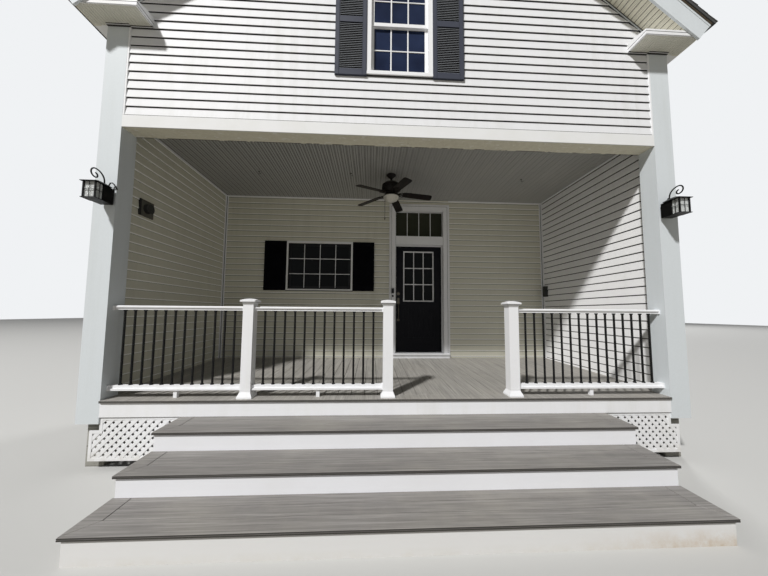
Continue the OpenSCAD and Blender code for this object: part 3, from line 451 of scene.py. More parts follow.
def peeling_paint():
    """Old white paint that has come off in flakes down to a beige ground."""
    look = Look("peeling_paint", 0.7, 0.2)
    flakes = look.noise(9, 8, 0.72, look.scaled(1, 2.4, 1), 0.8)
    off = look.rise(flakes, 0.40, 0.43)
    ground = look.mix(look.noise(22, 5, 0.7), "#f2efde", "#d2cdba")
    marks = look.noise(14, 6, 0.8, look.scaled(1, 5, 1))
    worn = look.mix(off, "#f0eee4", ground)
    worn = look.mix(look.rise(marks, 0.66, 0.70, 0.7), worn, "#565042")
    broken = look.times(look.over("Y", ROOM_FRONT - 0.009), look.spots(7, 4, 0.44, 0.5, 0.9, 0.6))
    worn = look.mix(broken, worn, "#1e1b18")
    bare = look.times(look.under("Z", HEADER_BOTTOM + 0.004), look.over("Y", FACE_Y + 0.012))
    face = look.mix(look.spots(3, 4, 0.4, 0.8, 0.4), "#ecedee", "#deded8")
    return look.done(look.mix(bare, face, worn), look.times(look.times(off, bare), -1), 0.0012, 0.9)


def beaded():
    """Grey ceiling boards, faintly patchy along their length."""
    look = Look("ceiling_boards")
    streak = look.grain(18, 1.1, 1)
    base = look.mix(look.rise(streak, 0.3, 0.8, 0.5), "#aeaeac", "#9a9b99")
    base = look.mix(look.spots(1.3, 3, 0.5, 0.85, 0.4), base, "#bab9b2")
    return look.done(base, streak, 0.0004, 0.4)


def soffit_vents(name, clean, dusty):
    """Soffit panels with rows of small punched holes, painted dark as the shade inside them."""
    look = Look(name)
    dots = look.node("TexVoronoi", Vector=look.place, Scale=85, Randomness=0).outputs["Distance"]
    hole = look.rise(dots, 0.2, 0.3, 0, 1)
    base = look.mix(look.spots(2, 4, 0.35, 0.8, 0.6), clean, dusty)
    return look.done(look.mix(look.times(hole, 0.7), base, "#545452"), look.times(hole, -1), 0.001, 0.6)


def shingle_grit():
    """Mineral granules in charcoal shades with sparkle and lichen dust."""
    look = Look("shingle_grit", 0.92)
    grit = look.noise(420, 2, 0.8)
    at = look.node("VectorMath", Vector=look.scaled(0, 3.28, 7.1)).outputs[0]
    sparkle = look.times(look.node("TexWhiteNoise", Vector=at).outputs["Value"], 0.25)
    base = look.ramp(grit, (0.3, "#222224"), (0.55, "#424244"), (0.8, "#6a6a6a"))
    base = look.mix(look.spots(3.2, 5, 0.35, 0.75, 0.6, 0.7), base, "#34382e")
    return look.done(look.mix(sparkle, base, "#585654"), grit, 0.0015, 0.9)


def dark_glass():
    """Panes painted dark as the shade of an unlit room behind them, olive above 3 m, and with a painted sky
    reflection above 4 m; sharp reflections, faint dust.
    """
    look = Look("dark_glass", 0.04, 0.05)
    cloud = look.spots(1.4, 3, 0.3, 0.8, rough=0.6)
    height = look.math("DIVIDE", "Z", 10)
    room = look.mix(cloud, "#080a0b", "#141818")
    room = look.mix(look.rise(height, 0.30, 0.305), room, "#3a3c32")
    painted_sky = look.mix(cloud, "#0e1428", "#2c3856")
    look.shade(Roughness=look.spots(18, 4, 0.4, 0.85, 0.14, foot=0.03))
    colour = look.mix(look.rise(height, 0.39, 0.40), room, painted_sky)
    return look.done(colour, look.noise(2.2, 2), 0.002, 0.12)


def clear_glass():
    """Seeded lantern glass, slightly milky."""
    look = Look("clear_glass", 0.12)
    look.shade(Transmission_Weight=0.45, IOR=1.2)
    milky = look.ramp(look.noise(6, 3), (0.3, "#f4f6f6"), (0.8, "#e2e6e4"))
    return look.done(milky, look.noise(5, 2), 0.0008, 0.15)


def frosted():
    """Milk-white bowl with a faint alabaster swirl."""
    look = Look("frosted_glass", 0.32)
    look.shade(Subsurface_Weight=0.25, Subsurface_Radius=(0.02, 0.02, 0.02))
    swirl = look.noise(11, 5, 0.6, distort=1.6)
    return look.done(look.ramp(swirl, (0.3, "#e2e0d9"), (0.75, "#c8c5bc")), swirl, 0.0004, 0.2)


def lattice_look():
    """White lattice with painted shade: its back layer is near-black so that the holes look shaded, and the
    rim's painted shadow line runs along its top edge.
    """
    look = Look("lattice", 0.55, 0.2)
    dark = look.most(look.over("Y", LATTICE_BACK_LAYER), look.over("Z", RIM_BOTTOM - 0.007))
    front = look.mix(look.spots(2.2, 4, 0.4, 0.8, 0.5), "#f0f1f4", "#dededa")
    foot = look.rise("Z", 0.09, 0.20, 0, 1)
    splash = look.times(look.times(foot, look.spots(12, 5, 0.4, 0.7, rough=0.7)), 0.5)
    front = look.mix(splash, front, "#b2aa96")
    return look.done(look.mix(dark, front, "#1a1917"), look.grain(60, 60, 60, 5), 0.0004, 0.3)


def return_look():
    """The boxed ends of the cornice: painted shade in a groove along the middle of their faces and in a
    sunken line at their foot.
    """
    look = Look("return_trim", 0.55, 0.2)
    up = look.math("SUBTRACT", "Z", SOFFIT_Z)
    groove = look.under(look.math("ABSOLUTE", look.math("SUBTRACT", up, 0.041)), 0.0032)
    line = look.most(groove, look.times(look.over(up, 0.0004), look.under(up, 0.005)))
    white = look.mix(look.spots(3, 4, 0.35, 0.8), "#f1f2f5", "#e2e3e0")
    return look.done(look.mix(line, white, "#424246"), look.times(line, -1), 0.002, 0.8)


def narrow_frame():
    """The lower window shows a narrow white frame; its sash is as dark as the panes."""
    look = Look("narrow_frame", 0.55, 0.2)
    left, right, foot, top = LOW_WINDOW
    across = look.times(look.over("X", left + SHOWN_FRAME), look.under("X", right - SHOWN_FRAME))
    up = look.times(look.over("Z", foot + SHOWN_FOOT), look.under("Z", top - SHOWN_FRAME))
    sash = look.times(across, up)
    white = look.mix(look.spots(3, 4, 0.35, 0.8), "#f5f6f7", "#e8e8e4")
    return look.done(look.mix(sash, white, "#0f1010"), look.grain(60, 60, 60, 5), 0.0004, 0.3)


def wave(look, at, scale, distortion, detail):
    return look.node(
        "TexWave", Vector=at, Scale=scale, Distortion=distortion, Detail=detail
    ).outputs["Fac"]


def blade_wood():
    """Dark stained wood with a long figure."""
    look = Look("blade_wood", specular=0.25)
    look.shade(Coat_Weight=0.1)
    fine = look.noise(60, 5, 0.6)
    base = look.mix(wave(look, look.place, 4, 9, 4), "#130f0e", "#201814")
    return look.done(look.mix(look.rise(fine, 0.4, 0.8, 0.5), base, "#0c0a09"), fine, 0.0003, 0.4)


def timber():
    """Sawn boards, painted white where their ends show at the back."""
    look = Look("timber", 0.75)
    knots = look.noise(3, 5, 0.6)
    base = look.mix(wave(look, look.scaled(0.6, 6, 6), 3, 6, 3), "#967a58", "#7a6044")
    bare = look.mix(look.rise(knots, 0.55, 0.8, 0.7), base, "#543e2a")
    white = look.mix(knots, "#e4e5e6", "#d4d4d1")
    colour = look.mix(look.over("Y", REAR_Y - 0.003), bare, white)
    return look.done(colour, look.noise(80, 4), 0.0006, 0.5)


def block_wall():
    """Painted foundation blocks with their joints, damp towards the ground."""
    look = Look("block_wall", 0.85)
    bricks = look.node(
        "TexBrick", Scale=1, Mortar_Size=0.006, Brick_Width=0.4, Row_Height=0.2,
        Vector=look.node("CombineXYZ", X=look.math("ADD", "X", "Y"), Y="Z").outputs[0],
        Color1="#b2b2ac", Color2="#a4a39e", Mortar="#807f7a",
    )
    pits = look.noise(60, 5, 0.7)
    damp = look.times(look.rise("Z", 0, 0.3, 0, 1), look.spots(4, 5, 0.3, 0.7, foot=0.2))
    base = look.mix(look.rise(pits, 0.55, 0.85, 0.6), bricks.outputs["Color"], "#7a7872")
    colour = look.mix(look.times(damp, 0.6), base, "#686458")
    return look.done(colour, look.math("SUBTRACT", look.times(pits, 0.4), bricks.outputs["Fac"]), 0.004, 0.8)


def fitting_look():
    """Olive-grey outlet block on the left wall with a painted shadow along its dark front edge, and a dark
    cap; dark box on the right wall.
    """
    look = Look("fitting")
    scuff = look.spots(40, 4, 0.4, 0.8, 0.6)
    block = look.mix(scuff, "#5c5b52", "#46453e")
    block = look.mix(look.under("Y", FACE_Y + 0.402), block, "#101010")
    dark = look.mix(scuff, "#222221", "#3a3a38")
    colour = look.mix(look.over("X", -HALF_ROOM + 0.029), block, dark)
    return look.done(colour, look.noise(120, 3), 0.0006, 0.4)


siding = vinyl("siding", "#e8e9ec", "#cecfcb")
trim = vinyl("trim", "#f1f2f5", "#e0e0dc")
corner_trim = vinyl("corner_trim", "#d9dfe3", "#c6cbcb")
# Painted light on the vinyl: a darker, yellowed copy with painted shade for the porch's inner walls, a
# near-white painted highlight for the lap edges, and a brighter painted-lit copy for its right wall
shaded_siding = vinyl("shaded_siding", "#d8d6c7", "#c0bead")
lap_highlight = vinyl("lap_highlight", "#fdfdf8", "#eeede4")
lit_siding = vinyl("lit_siding", "#f8f8f9", "#e2e3df")
# Painted shade for the thin strips below the laps and for their undersides
lap_shadow = vinyl("lap_shadow", "#3a3939", "#2a2928", 0.8)
lap_gap_shade = vinyl("lap_gap_shade", "#76746a", "#605e56", 0.8)
back_lap_shade = vinyl("back_lap_shade", "#5c5a52", "#4a4842", 0.8)
deck_wood = decking("deck_wood", "y", "#b4b1ab", "#989590", "#7c7a76")
tread_wood = decking("tread_wood", "x", "#a09d9a", "#84817e", "#686563")
bead_groove_shade = coated("bead_groove_shade", "#807f7c", "#6a6966", 0.8, 24, 0.2)
soffit = soffit_vents("soffit", "#e2decc", "#c8c3b0")
soffit_groove_shade = coated("soffit_groove_shade", "#686458", "#545046", 0.8, 20, 0.1)
return_soffit = soffit_vents("return_soffit", "#deddd2", "#bcbbb0")
grit = shingle_grit()
door_paint = coated("door_paint", "#0b0b0f", "#141419", 0.42, 16, 0.08)
shutter_paint = coated("shutter_paint", "#383b47", "#484c58", 0.55, 14, 0.2)
slat_nose_highlight = coated("slat_nose_highlight", "#9ea2a8", "#b0b4b8", 0.55, 14, 0.2)
low_slat_nose_shaded = coated("low_slat_nose_shaded", "#0a0a0d", "#121215", 0.6, 14, 0.1)
slat_shade = coated("slat_shade", "#060608", "#0e0e10", 0.8, 14, 0.05)
low_shutter_shaded_paint = coated("low_shutter_shaded_paint", "#050509", "#0b0b0f", 0.7, 14, 0.04)
iron = coated("iron", "#080809", "#181817", 0.45, 60, 0.2)
bronze = coated("bronze", "#161311", "#302a24", 0.4, 45, 0.25, metal=0.2)
edge_metal = coated("edge_metal", "#605446", "#7c705e", 0.5, 20, 0.2)
nose_shade_look = coated("board_nose_shade", "#3e3c3a", "#54524e", 0.8, 30, 0.2)
gap_shade_look = coated("board_gap_shade", "#1a1918", "#282624", 0.9, 30, 0.1)
shaded_joist_timber = coated("shaded_joist_timber", "#3a322a", "#50463a", 0.85, 12, 0.1)
nickel = brushed("nickel", "#bcbab4", "#807d76")
aged_handle = brushed("aged_handle", "#625c52", "#302d28")
milk_glass = frosted()
ceiling_grey = beaded()
blades = blade_wood()


# Siding
def lapped(place, z0, z1, spans, breaks=(), phase=LAP_FOOT, pitch=LAP, lip=0.013, shade_strip=0.005, lit_edge=0):
    """Courses of lapped siding between two heights. place(u, out, z) gives a point of the wall, and
    spans(low, high) the stretches (left, right at low, left, right at high) that one band covers.
    Mark 1 is painted shade: a thin strip below each lap, and the lap's underside where no lit edge is asked
    for; mark 2 is a painted highlight on the rolled edge at each lap's foot."""
    shape = Shape()
    root = 0.002
    for course in range(floor((z0 - phase) / pitch), ceil((z1 - phase) / pitch)):
        foot = phase + course * pitch
        cuts = {max(foot, z0), min(foot + pitch, z1), foot + pitch - shade_strip, foot + lit_edge}
        cuts |= {b for b in breaks if foot < b < foot + pitch}
        cuts = sorted(c for c in cuts if z0 <= c <= z1)

        def out(z):
            return lip - (lip - root) * (z - foot) / pitch

        for low, high in zip(cuts, cuts[1:]):
            if high - low < 1e-4:
                continue
            for a0, a1, b0, b1 in spans(low, high):
                rows = [(a0, a1, out(low), low), (b0, b1, out(high), high)]
                at_foot = abs(low - foot) < 1e-6
                if at_foot:
                    rolled = ((root, low), (lip - 0.0025, low), (lip, low + 0.003))
                    rows = [(a0, a1, o, z) for o, z in rolled] + rows[1:]
                verts = [place(u, o, z) for u0, u1, o, z in rows for u in (u0, u1)]
                bands = len(rows) - 1
                shape.add(verts, [(2 * i, 2 * i + 1, 2 * i + 3, 2 * i + 2) for i in range(bands)])
                if lit_edge and high < foot + lit_edge + 1e-6:
                    shape.mark(2, bands)
                elif low > foot + pitch - shade_strip - 1e-6:
                    shape.mark(1, 1)
                elif at_foot and not lit_edge:
                    shape.mark(1, bands, [0])
    return shape


def hole(stretch, low, high, opening):
    """Takes an opening out of a stretch of wall."""
    left, right, bottom, top = opening
    a0, a1, b0, b1 = stretch
    if high <= bottom + 1e-6 or low >= top - 1e-6:
        return [stretch]
    return [(a0, left, b0, left), (right, a1, right, b1)]


def gable_spans(low, high):
    def reach(z):
        return HALF_OPENING if z < SOFFIT_Z - 1e-6 else max(0, min(HALF_HOUSE, roof_x(z)) - 0.004)

    middle = (low + high) / 2
    a, b = (reach(middle), reach(middle)) if low < SOFFIT_Z else (reach(low), reach(high))
    return hole((-a, a, -b, b), low, high, HIGH_WINDOW)


def back_spans(low, high):
    kept = []
    for part in hole((-HALF_ROOM, HALF_ROOM, -HALF_ROOM, HALF_ROOM), low, high, LOW_WINDOW):
        crossed = part[0] < CASING[0] and part[1] > CASING[1]
        kept += hole(part, low, high, CASING) if crossed else [part]
    return kept


def plain_spans(end):
    """A side wall's stretch from the front wall to a depth."""
    return lambda low, high: [(ROOM_FRONT, end, ROOM_FRONT, end)]


ROOM_TOP = CEILING_Z - 0.008
gable = lapped(
    lambda u, o, z: (u, GABLE_Y - o, z), HEADER_TOP, roof_z(0) - 0.01, gable_spans,
    (SOFFIT_Z, *HIGH_WINDOW[2:]), GABLE_FOOT, GABLE_LAP, lip=0.015, shade_strip=0.0075,
)
piece("gable_siding", gable, "white_siding", siding, lap_shadow)
back = lapped(
    lambda u, o, z: (u, BACK_Y - o, z), deck_top(BACK_Y), ROOM_TOP, back_spans,
    (*LOW_WINDOW[2:], CASING_TOP), shade_strip=0.009, lit_edge=0.015,
)
piece("back_siding", back, "white_siding", shaded_siding, back_lap_shade, lap_highlight)
# Inner side walls: the left in the painted-shade copy with painted highlights at the laps' feet, the right in
# the painted-lit copy; both with painted shade below the laps
for side, name, look, line, shade_strip, lit_edge in (
    (-1, "left", shaded_siding, lap_gap_shade, 0.004, 0.015), (1, "right", lit_siding, lap_shadow, 0.012, 0),
):
    room = lapped(
        lambda u, o, z: (side * (HALF_ROOM - o), u, z), deck_top(ROOM_FRONT), ROOM_TOP,
        plain_spans(BACK_Y - 0.001), shade_strip=shade_strip, lit_edge=lit_edge,
    )
    piece(f"room_siding_{name}", room, "white_siding", look, line, lap_highlight)
    outer = lapped(
        lambda u, o, z: (side * (HALF_HOUSE + o), u, z), FOUNDATION_Z, SOFFIT_Z, plain_spans(REAR_Y)
    )
    piece(f"outer_siding_{name}", outer, "white_siding", siding, lap_shadow)


# Trims that end the siding
def front(y):
    """place() for outlines seen from the front, with depth counted from y towards the viewer."""
    return lambda u, v, w: (u, y - w, v)


deck_back = deck_top(BACK_Y)
channels = Shape()
for (left, right, foot, top), plane in ((LOW_WINDOW, BACK_Y), (HIGH_WINDOW, GABLE_Y)):
    channels.ring(front(plane), left - 0.016, right + 0.016, foot - 0.014, top + 0.016, 0.016, 0, 0.017)
    # The bottom of each ring is a painted shadow line under the window
    channels.mark(1, 24, range(6))
left, right, foot, top = CASING
for x0, x1, depth, z0, z1 in (
    (left, left - 0.016, 0.017, deck_back, top + 0.016),
    (right, right + 0.016, 0.017, deck_back, top + 0.016),
    (left, right, 0.017, top, top + 0.016),
    (-HALF_ROOM, left, 0.018, CEILING_Z - 0.030, ROOM_TOP),
    (right, HALF_ROOM, 0.018, CEILING_Z - 0.030, ROOM_TOP),
):
    channels.box((x0, BACK_Y - depth, z0), (x1, BACK_Y, z1))
for side in SIDES:
    wall = side * HALF_ROOM
    for near, far, depth in ((0, 0.017, 0.046), (0.017, 0.030, 0.016), (0.030, 0.046, 0.022)):
        channels.box((wall - side * near, BACK_Y - depth, deck_back), (wall - side * far, BACK_Y, CEILING_Z))
        # The middle strip beside each corner is painted shade
        if near == 0.017:
            channels.mark(1, 6)
    channels.box(
        (wall, ROOM_FRONT, deck_top(ROOM_FRONT)),
        (wall - side * 0.020, ROOM_FRONT + 0.022, CEILING_Z),
    )
    channels.box((wall, ROOM_FRONT, CEILING_Z - 0.030), (wall - side * 0.018, BACK_Y, ROOM_TOP))
    edge = side * HALF_OPENING
    channels.box((edge, GABLE_Y - 0.018, HEADER_TOP), (edge - side * 0.020, GABLE_Y, SOFFIT_Z))
# A painted shade line over the header board, below the lowest lap
channels.box((-HALF_OPENING, GABLE_Y - 0.016, HEADER_TOP), (HALF_OPENING, GABLE_Y, HEADER_TOP + 0.0075))
channels.mark(1, 6)
piece("siding_channels", channels, "white_trim", trim, lap_shadow, bevel=0.002)

# Ceiling boards, each with two beads that stand between grooves; the groove faces take painted shade
boards = Shape()
count = round(2 * HALF_ROOM / BEAD_PITCH)
step = 2 * HALF_ROOM / count
low = CEILING_Z - 0.010
for i in range(count):
    a = -HALF_ROOM + i * step
    profile = [
        (0, 0.010), (0, 0.006), (0.003, 0), (0.033, 0), (0.037, 0.005), (0.041, 0.001),
        (0.046, 0.001), (0.050, 0.005), (0.054, 0), (step - 0.003, 0), (step, 0.006), (step, 0.010),
    ]
    boards.along_y([(a + u, low + v) for u, v in profile], ROOM_FRONT, BACK_Y)
    boards.mark(1, 12, (0, 3, 6, 9))
piece("ceiling_boards", boards, "ceiling_grey", ceiling_grey, bead_groove_shade)

# Deck and treads
FRONT_EDGE = FACE_Y - NOSING
BORDER = FRONT_EDGE + PLANK
BORDER_JOINT = 0.318
BORDER_BACK = BORDER + PLANK_GAP
NOSE_SHADE_LINES = ((0.002, 0.011), (0.0145, 0.0215))
planks = Shape()
# Dark lines on the noses of the deck and the treads: painted shade
edges = Shape()
# Dark strips set into the gaps between boards: painted shade
gap_shades = Shape()


def sloped(shape, x0, x1, y0, y1, low, high=0):
    """A board that follows the deck's fall, between two heights counted from its top."""
    corners = ((y0, low), (y1, low), (y1, high), (y0, high))
    shape.along_x([(y, deck_top(y) + h) for y, h in corners], *sorted((x0, x1)))


for x0, x1 in ((-HALF_OPENING, BORDER_JOINT), (BORDER_JOINT + 0.003, HALF_OPENING)):
    sloped(planks, x0, x1, FRONT_EDGE + 0.0015, BORDER, -BOARD_T)
count = round((2 * HALF_OPENING + PLANK_GAP) / (PLANK + PLANK_GAP))
step = (2 * HALF_OPENING + PLANK_GAP) / count
for i in range(count):
    x = -HALF_OPENING + i * step
    sloped(planks, x, x + step - PLANK_GAP, BORDER_BACK, BACK_Y, -BOARD_T)
    if i:
        sloped(gap_shades, x - PLANK_GAP, x, BORDER_BACK, BACK_Y, -0.020, -0.008)
for side in SIDES:
    sloped(planks, side * (HALF_OPENING + PLANK_GAP), side * HALF_ROOM, ROOM_FRONT, BACK_Y, -BOARD_T)
piece("deck_planks", planks, "grey_decking", deck_wood, bevel=0.0025, segments=2, replaces=["deck_boards"])

low = deck_top(FRONT_EDGE) - BOARD_T
for h0, h1 in NOSE_SHADE_LINES:
    edges.box((-HALF_OPENING, FRONT_EDGE, low + h0), (HALF_OPENING, FRONT_EDGE + 0.002, low + h1))
top = deck_top(BORDER)
gap_shades.box((-HALF_OPENING, BORDER, top - 0.020), (HALF_OPENING, BORDER_BACK, top - 0.008))
treads = Shape()
reach = STEP_HALF + NOSING
inner = reach - PLANK
for k, top in enumerate(TREAD_TOPS):
    face = FACE_Y - (len(TREAD_TOPS) - k) * TREAD_RUN
    y0, y1 = face - NOSING + 0.0015, face + TREAD_RUN
    mitre = y0 + PLANK
    low = top - BOARD_T
    for h0, h1 in NOSE_SHADE_LINES:
        edges.box((STEP_X - reach, y0 - 0.0015, low + h0), (STEP_X + reach, y0 + 0.0005, low + h1))
    nose = ((-reach, y0), (reach, y0), (inner, mitre), (-inner, mitre))
    treads.along_z([(STEP_X + u, v) for u, v in nose], low, top)
    for side in SIDES:
        end = ((reach, y0 + 0.003), (reach, y1), (inner, y1), (inner, mitre + 0.003))
        treads.along_z([(STEP_X + side * u, v) for u, v in end], low, top)
    field = inner - PLANK_GAP
    rest = (y1 - y0 - PLANK - 2 * PLANK_GAP) / 2
    for n in range(2):
        a = mitre + PLANK_GAP + n * (rest + PLANK_GAP)
        treads.box((STEP_X - field, a, low), (STEP_X + field, a + rest, top))
        gap_shades.box((STEP_X - field, a - PLANK_GAP, low), (STEP_X + field, a, top - 0.007))
piece("tread_planks", treads, "grey_decking", tread_wood, bevel=0.003, segments=2, replaces=["treads"])
piece("board_nose_shades", edges, "grey_decking", nose_shade_look)
piece("board_gap_shades", gap_shades, "grey_decking", gap_shade_look)

# Roof
SLOPE = Vector((cos(PITCH), -sin(PITCH)))
NORMAL = Vector((sin(PITCH), cos(PITCH)))
EAVE = Vector((EAVE_X, SOFFIT_Z))
SOFFIT_RIB = 0.033
RAKE_RIB = 0.055
RAKE_FACE = RAKE_Y - FASCIA_T
ROOF_FRONT = RAKE_FACE - SHINGLE_LIP
EXPOSURE = 0.143
RIDGE_S = SHINGLE_LIP + EAVE_X / cos(PITCH)


def on_roof(side, *points):
    """Points (x, z) at distances s up from the eave's edge and heights h over the framed roof's underside."""
    flat = [EAVE + SLOPE * (SHINGLE_LIP - s) + NORMAL * h for s, h in points]
    return [(side * max(p.x, 0), p.y) for p in flat]


def to_ridge(h):
    """Distance up to the middle of the roof at a height."""
    return RIDGE_S + h * ROOF_RISE


tabs = Shape()
for side in SIDES:
    top = ROOF_T + SHINGLE_T
    sheet_top = top - 0.013
    end = to_ridge(sheet_top)
    low = ROOF_T + 0.0005
    sheet = on_roof(side, (0.004, low), (0.004, sheet_top), (end, sheet_top), (to_ridge(ROOF_T), low))
    tabs.along_y(sheet, ROOF_FRONT + 0.004, REAR_Y)
    for c in range(int(end / EXPOSURE)):
        s1 = min(c * EXPOSURE + EXPOSURE + 0.02, end - 0.002)
        y = ROOF_FRONT
        while y < REAR_Y - 1e-6:
            y2 = min(y + rng.choice((0.12, 0.16, 0.20, 0.25)), REAR_Y)
            if REAR_Y - y2 < 0.05:
                y2 = REAR_Y
            thick = rng.choice((0, 0, 0.003, 0.005))
            s0 = c * EXPOSURE + rng.uniform(0, 0.004)
            low = sheet_top - 0.001
            tab = on_roof(side, (s0, low), (s0, top - thick), (s1, sheet_top + 0.0015), (s1, low))
            tabs.along_y(tab, y + 0.0006, y2 - 0.0006)
            y = y2
piece("shingle_tabs", tabs, "roof_shingle", grit, replaces=["shingles"])

caps = Shape()
CAP_T = 0.012
CAP_W = 0.150
CAP_COUNT = 14
cap_step = (REAR_Y - ROOF_FRONT) / CAP_COUNT
apex = roof_z(0) + (ROOF_T + SHINGLE_T + 0.0002) / cos(PITCH)
for i in range(CAP_COUNT):
    y0 = ROOF_FRONT + i * cap_step
    thick = CAP_T - 0.004 + 0.0036 * (i % 2)
    wing = Vector((0, apex)) + SLOPE * (CAP_W - rng.uniform(0, 0.006))
    tip = wing + NORMAL * thick
    peak = (0, apex + thick / cos(PITCH))
    outline = [(0, apex), tuple(wing), tuple(tip), peak, (-tip.x, tip.y), (-wing.x, wing.y)]
    caps.along_y(outline, y0 + 0.001, y0 + cap_step - 0.001)
piece("ridge_caps", caps, "roof_shingle", grit, replaces=["ridge_cap"])

drip = Shape()
soffits = Shape()
for side in SIDES:
    high = ROOF_T - 0.0005
    for h, out in ((ROOF_T - 0.030, 0.004), (ROOF_T - 0.006, 0.016)):
        flange = ((SHINGLE_LIP, h), (SHINGLE_LIP, high), (to_ridge(high), high), (to_ridge(h), h))
        drip.along_y(on_roof(side, *flange), RAKE_FACE - out, RAKE_FACE)
    drip.mark(1, 6)
    s, low = SHINGLE_LIP - 0.006, ROOF_T - 0.030
    flange = ((SHINGLE_LIP, low), (SHINGLE_LIP, high), (s, high), (s, low))
    drip.along_y(on_roof(side, *flange), RAKE_FACE, REAR_Y)
    s = SHINGLE_LIP + RAKE_SOFFIT_T / ROOF_RISE + 0.052
    end = to_ridge(-RAKE_SOFFIT_T)
    while s < end - 0.02:
        e = min(s + RAKE_RIB, end - 0.002)
        low, foot = -RAKE_SOFFIT_T, -RAKE_SOFFIT_T - 0.005
        rib = on_roof(side, (s + 0.0005, low), (e - 0.0005, low), (e - 0.0035, foot), (s + 0.0035, foot))
        soffits.along_y(rib, RAKE_Y, GABLE_Y - 0.020)
        # The ribs' sloping sides take painted shade, in the grooves between them
        soffits.mark(1, 4, (1, 3))
        s += RAKE_RIB
piece("drip_edges", drip, "roof_shingle", corner_trim, edge_metal)
piece("soffit_ribs", soffits, "white_trim", soffit, soffit_groove_shade)

ribs = Shape()
ends = Shape()
rake = Shape()
for side in SIDES:
    x = EAVE_X - RETURN_L + 0.012
    while x < EAVE_X - 0.02:
        e = min(x + SOFFIT_RIB, EAVE_X - 0.010)
        rib = ((x, 0), (e, 0), (e - 0.003, 0.005), (x + 0.003, 0.005))
        ribs.along_y([(side * u, SOFFIT_Z - h) for u, h in rib], RAKE_Y + 0.012, GABLE_Y - 0.016)
        x += SOFFIT_RIB
    corner = HALF_OPENING - 0.020
    for x0, x1, wall in ((EAVE_X - RETURN_L, corner, GABLE_Y), (corner, HALF_HOUSE, FACE_Y)):
        x0, x1, face = side * x0, side * x1, wall - 0.0005
        ends.box((x0, wall - 0.022, SOFFIT_Z - 0.013), (x1, face, SOFFIT_Z))
        # The two inner strips along the wall take painted shadow
        for low, near in ((0.017, 0.018), (0.008, 0.030)):
            ends.box((x0, wall - near, SOFFIT_Z - low), (x1, face, SOFFIT_Z - 0.0002)).mark(1, 6)
    for low, high, out in ((-0.014, 0, 0.020), (-0.030, -0.014, 0.017), (-0.036, -0.030, 0.014)):
        start, h0, h1 = SHINGLE_LIP + 0.20, low - RAKE_SOFFIT_T, high - RAKE_SOFFIT_T
        line = on_roof(side, (start, h0), (start, h1), (to_ridge(h1), h1), (to_ridge(h0), h0))
        rake.along_y(line, GABLE_Y - out, GABLE_Y - 0.001)
        # The channel's outer strips are painted shadow lines on either side of its middle strip
        if low != -0.030:
            rake.mark(1, 6)
piece("return_ribs", ribs, "white_trim", return_soffit)
piece("return_channels", ends, "white_trim", trim, lap_shadow)
piece("rake_channels", rake, "white_trim", corner_trim, lap_shadow)


# Windows
def window_bars(shape, opening, y, columns, rows, width=0.016, depth=0.008):
    """Bars over an opening, on the front of a pane whose face is at y."""
    x0, x1, z0, z1 = opening
    for i in range(1, columns):
        x = x0 + (x1 - x0) * i / columns
        shape.box((x - width / 2, y - depth, z0), (x + width / 2, y, z1))
    for i in range(1, rows):
        z = z0 + (z1 - z0) * i / rows
        shape.box((x0, y - depth * 0.96, z - width / 2), (x1, y, z + width / 2))


def inside(opening, edge):
    x0, x1, z0, z1 = opening
    return (x0 + edge, x1 - edge, z0 + edge, z1 - edge)


bars = Shape()
x0, x1, z0, z1 = inside(LOW_WINDOW, SHOWN_FRAME)
window_bars(bars, (x0, x1, z0 - SHOWN_FRAME + SHOWN_FOOT, z1), BACK_Y + 0.0115, 4, 3, 0.013)
x0, x1, z0, z1 = inside(HIGH_WINDOW, WINDOW_FRAME_W + SASH_W)
middle = (z0 + z1) / 2
glass = GABLE_Y + 0.022
window_bars(bars, (x0, x1, middle + 0.021, z1), glass, 3, 2)
window_bars(bars, (x0, x1, z0, middle - 0.021), glass + 0.026, 3, 2)
window_bars(bars, TRANSOM, BACK_Y + 0.070, 4, 1, 0.014, 0.012)
piece("window_bars", bars, "white_trim", trim, bevel=0.003)

lite = Shape()
lite_y = DOOR_FACE_Y + 0.019
lite.ring(front(lite_y), *DOOR_LITE, 0.026, 0, 0.010)
window_bars(lite, inside(DOOR_LITE, 0.02), lite_y, 3, 3, 0.017, 0.010)
piece("door_lite_bars", lite, "white_trim", trim, body="door", bevel=0.003)

# Shadow lines of the door's casing: along its raised outer band and beside the opening
BAND = 0.028
grooves = Shape()
front_y, back_y = CASING_Y - 0.0008, CASING_Y + 0.001
for reach, width in ((CASING_HALF - BAND, 0.005), (0.468, 0.004)):
    for side in SIDES:
        a, b = (DOOR_X + side * r for r in (reach, reach - width))
        grooves.box((a, front_y, deck_back + 0.050), (b, back_y, CASING_TOP - CASING_HALF + reach))
top = CASING_TOP - BAND
grooves.box((CASING[0] + BAND, front_y, top - 0.005), (CASING[1] - BAND, back_y, top))
piece("casing_shadow_lines", grooves, "white_trim", lap_shadow)

# Shutters
SHUTTER_T = 0.036
STILE = 0.052
SHUTTER_RAIL = STILE * 1.4
SLAT_PITCH = 0.0218
SLAT_EDGE = 0.0042
BEAD = 0.007


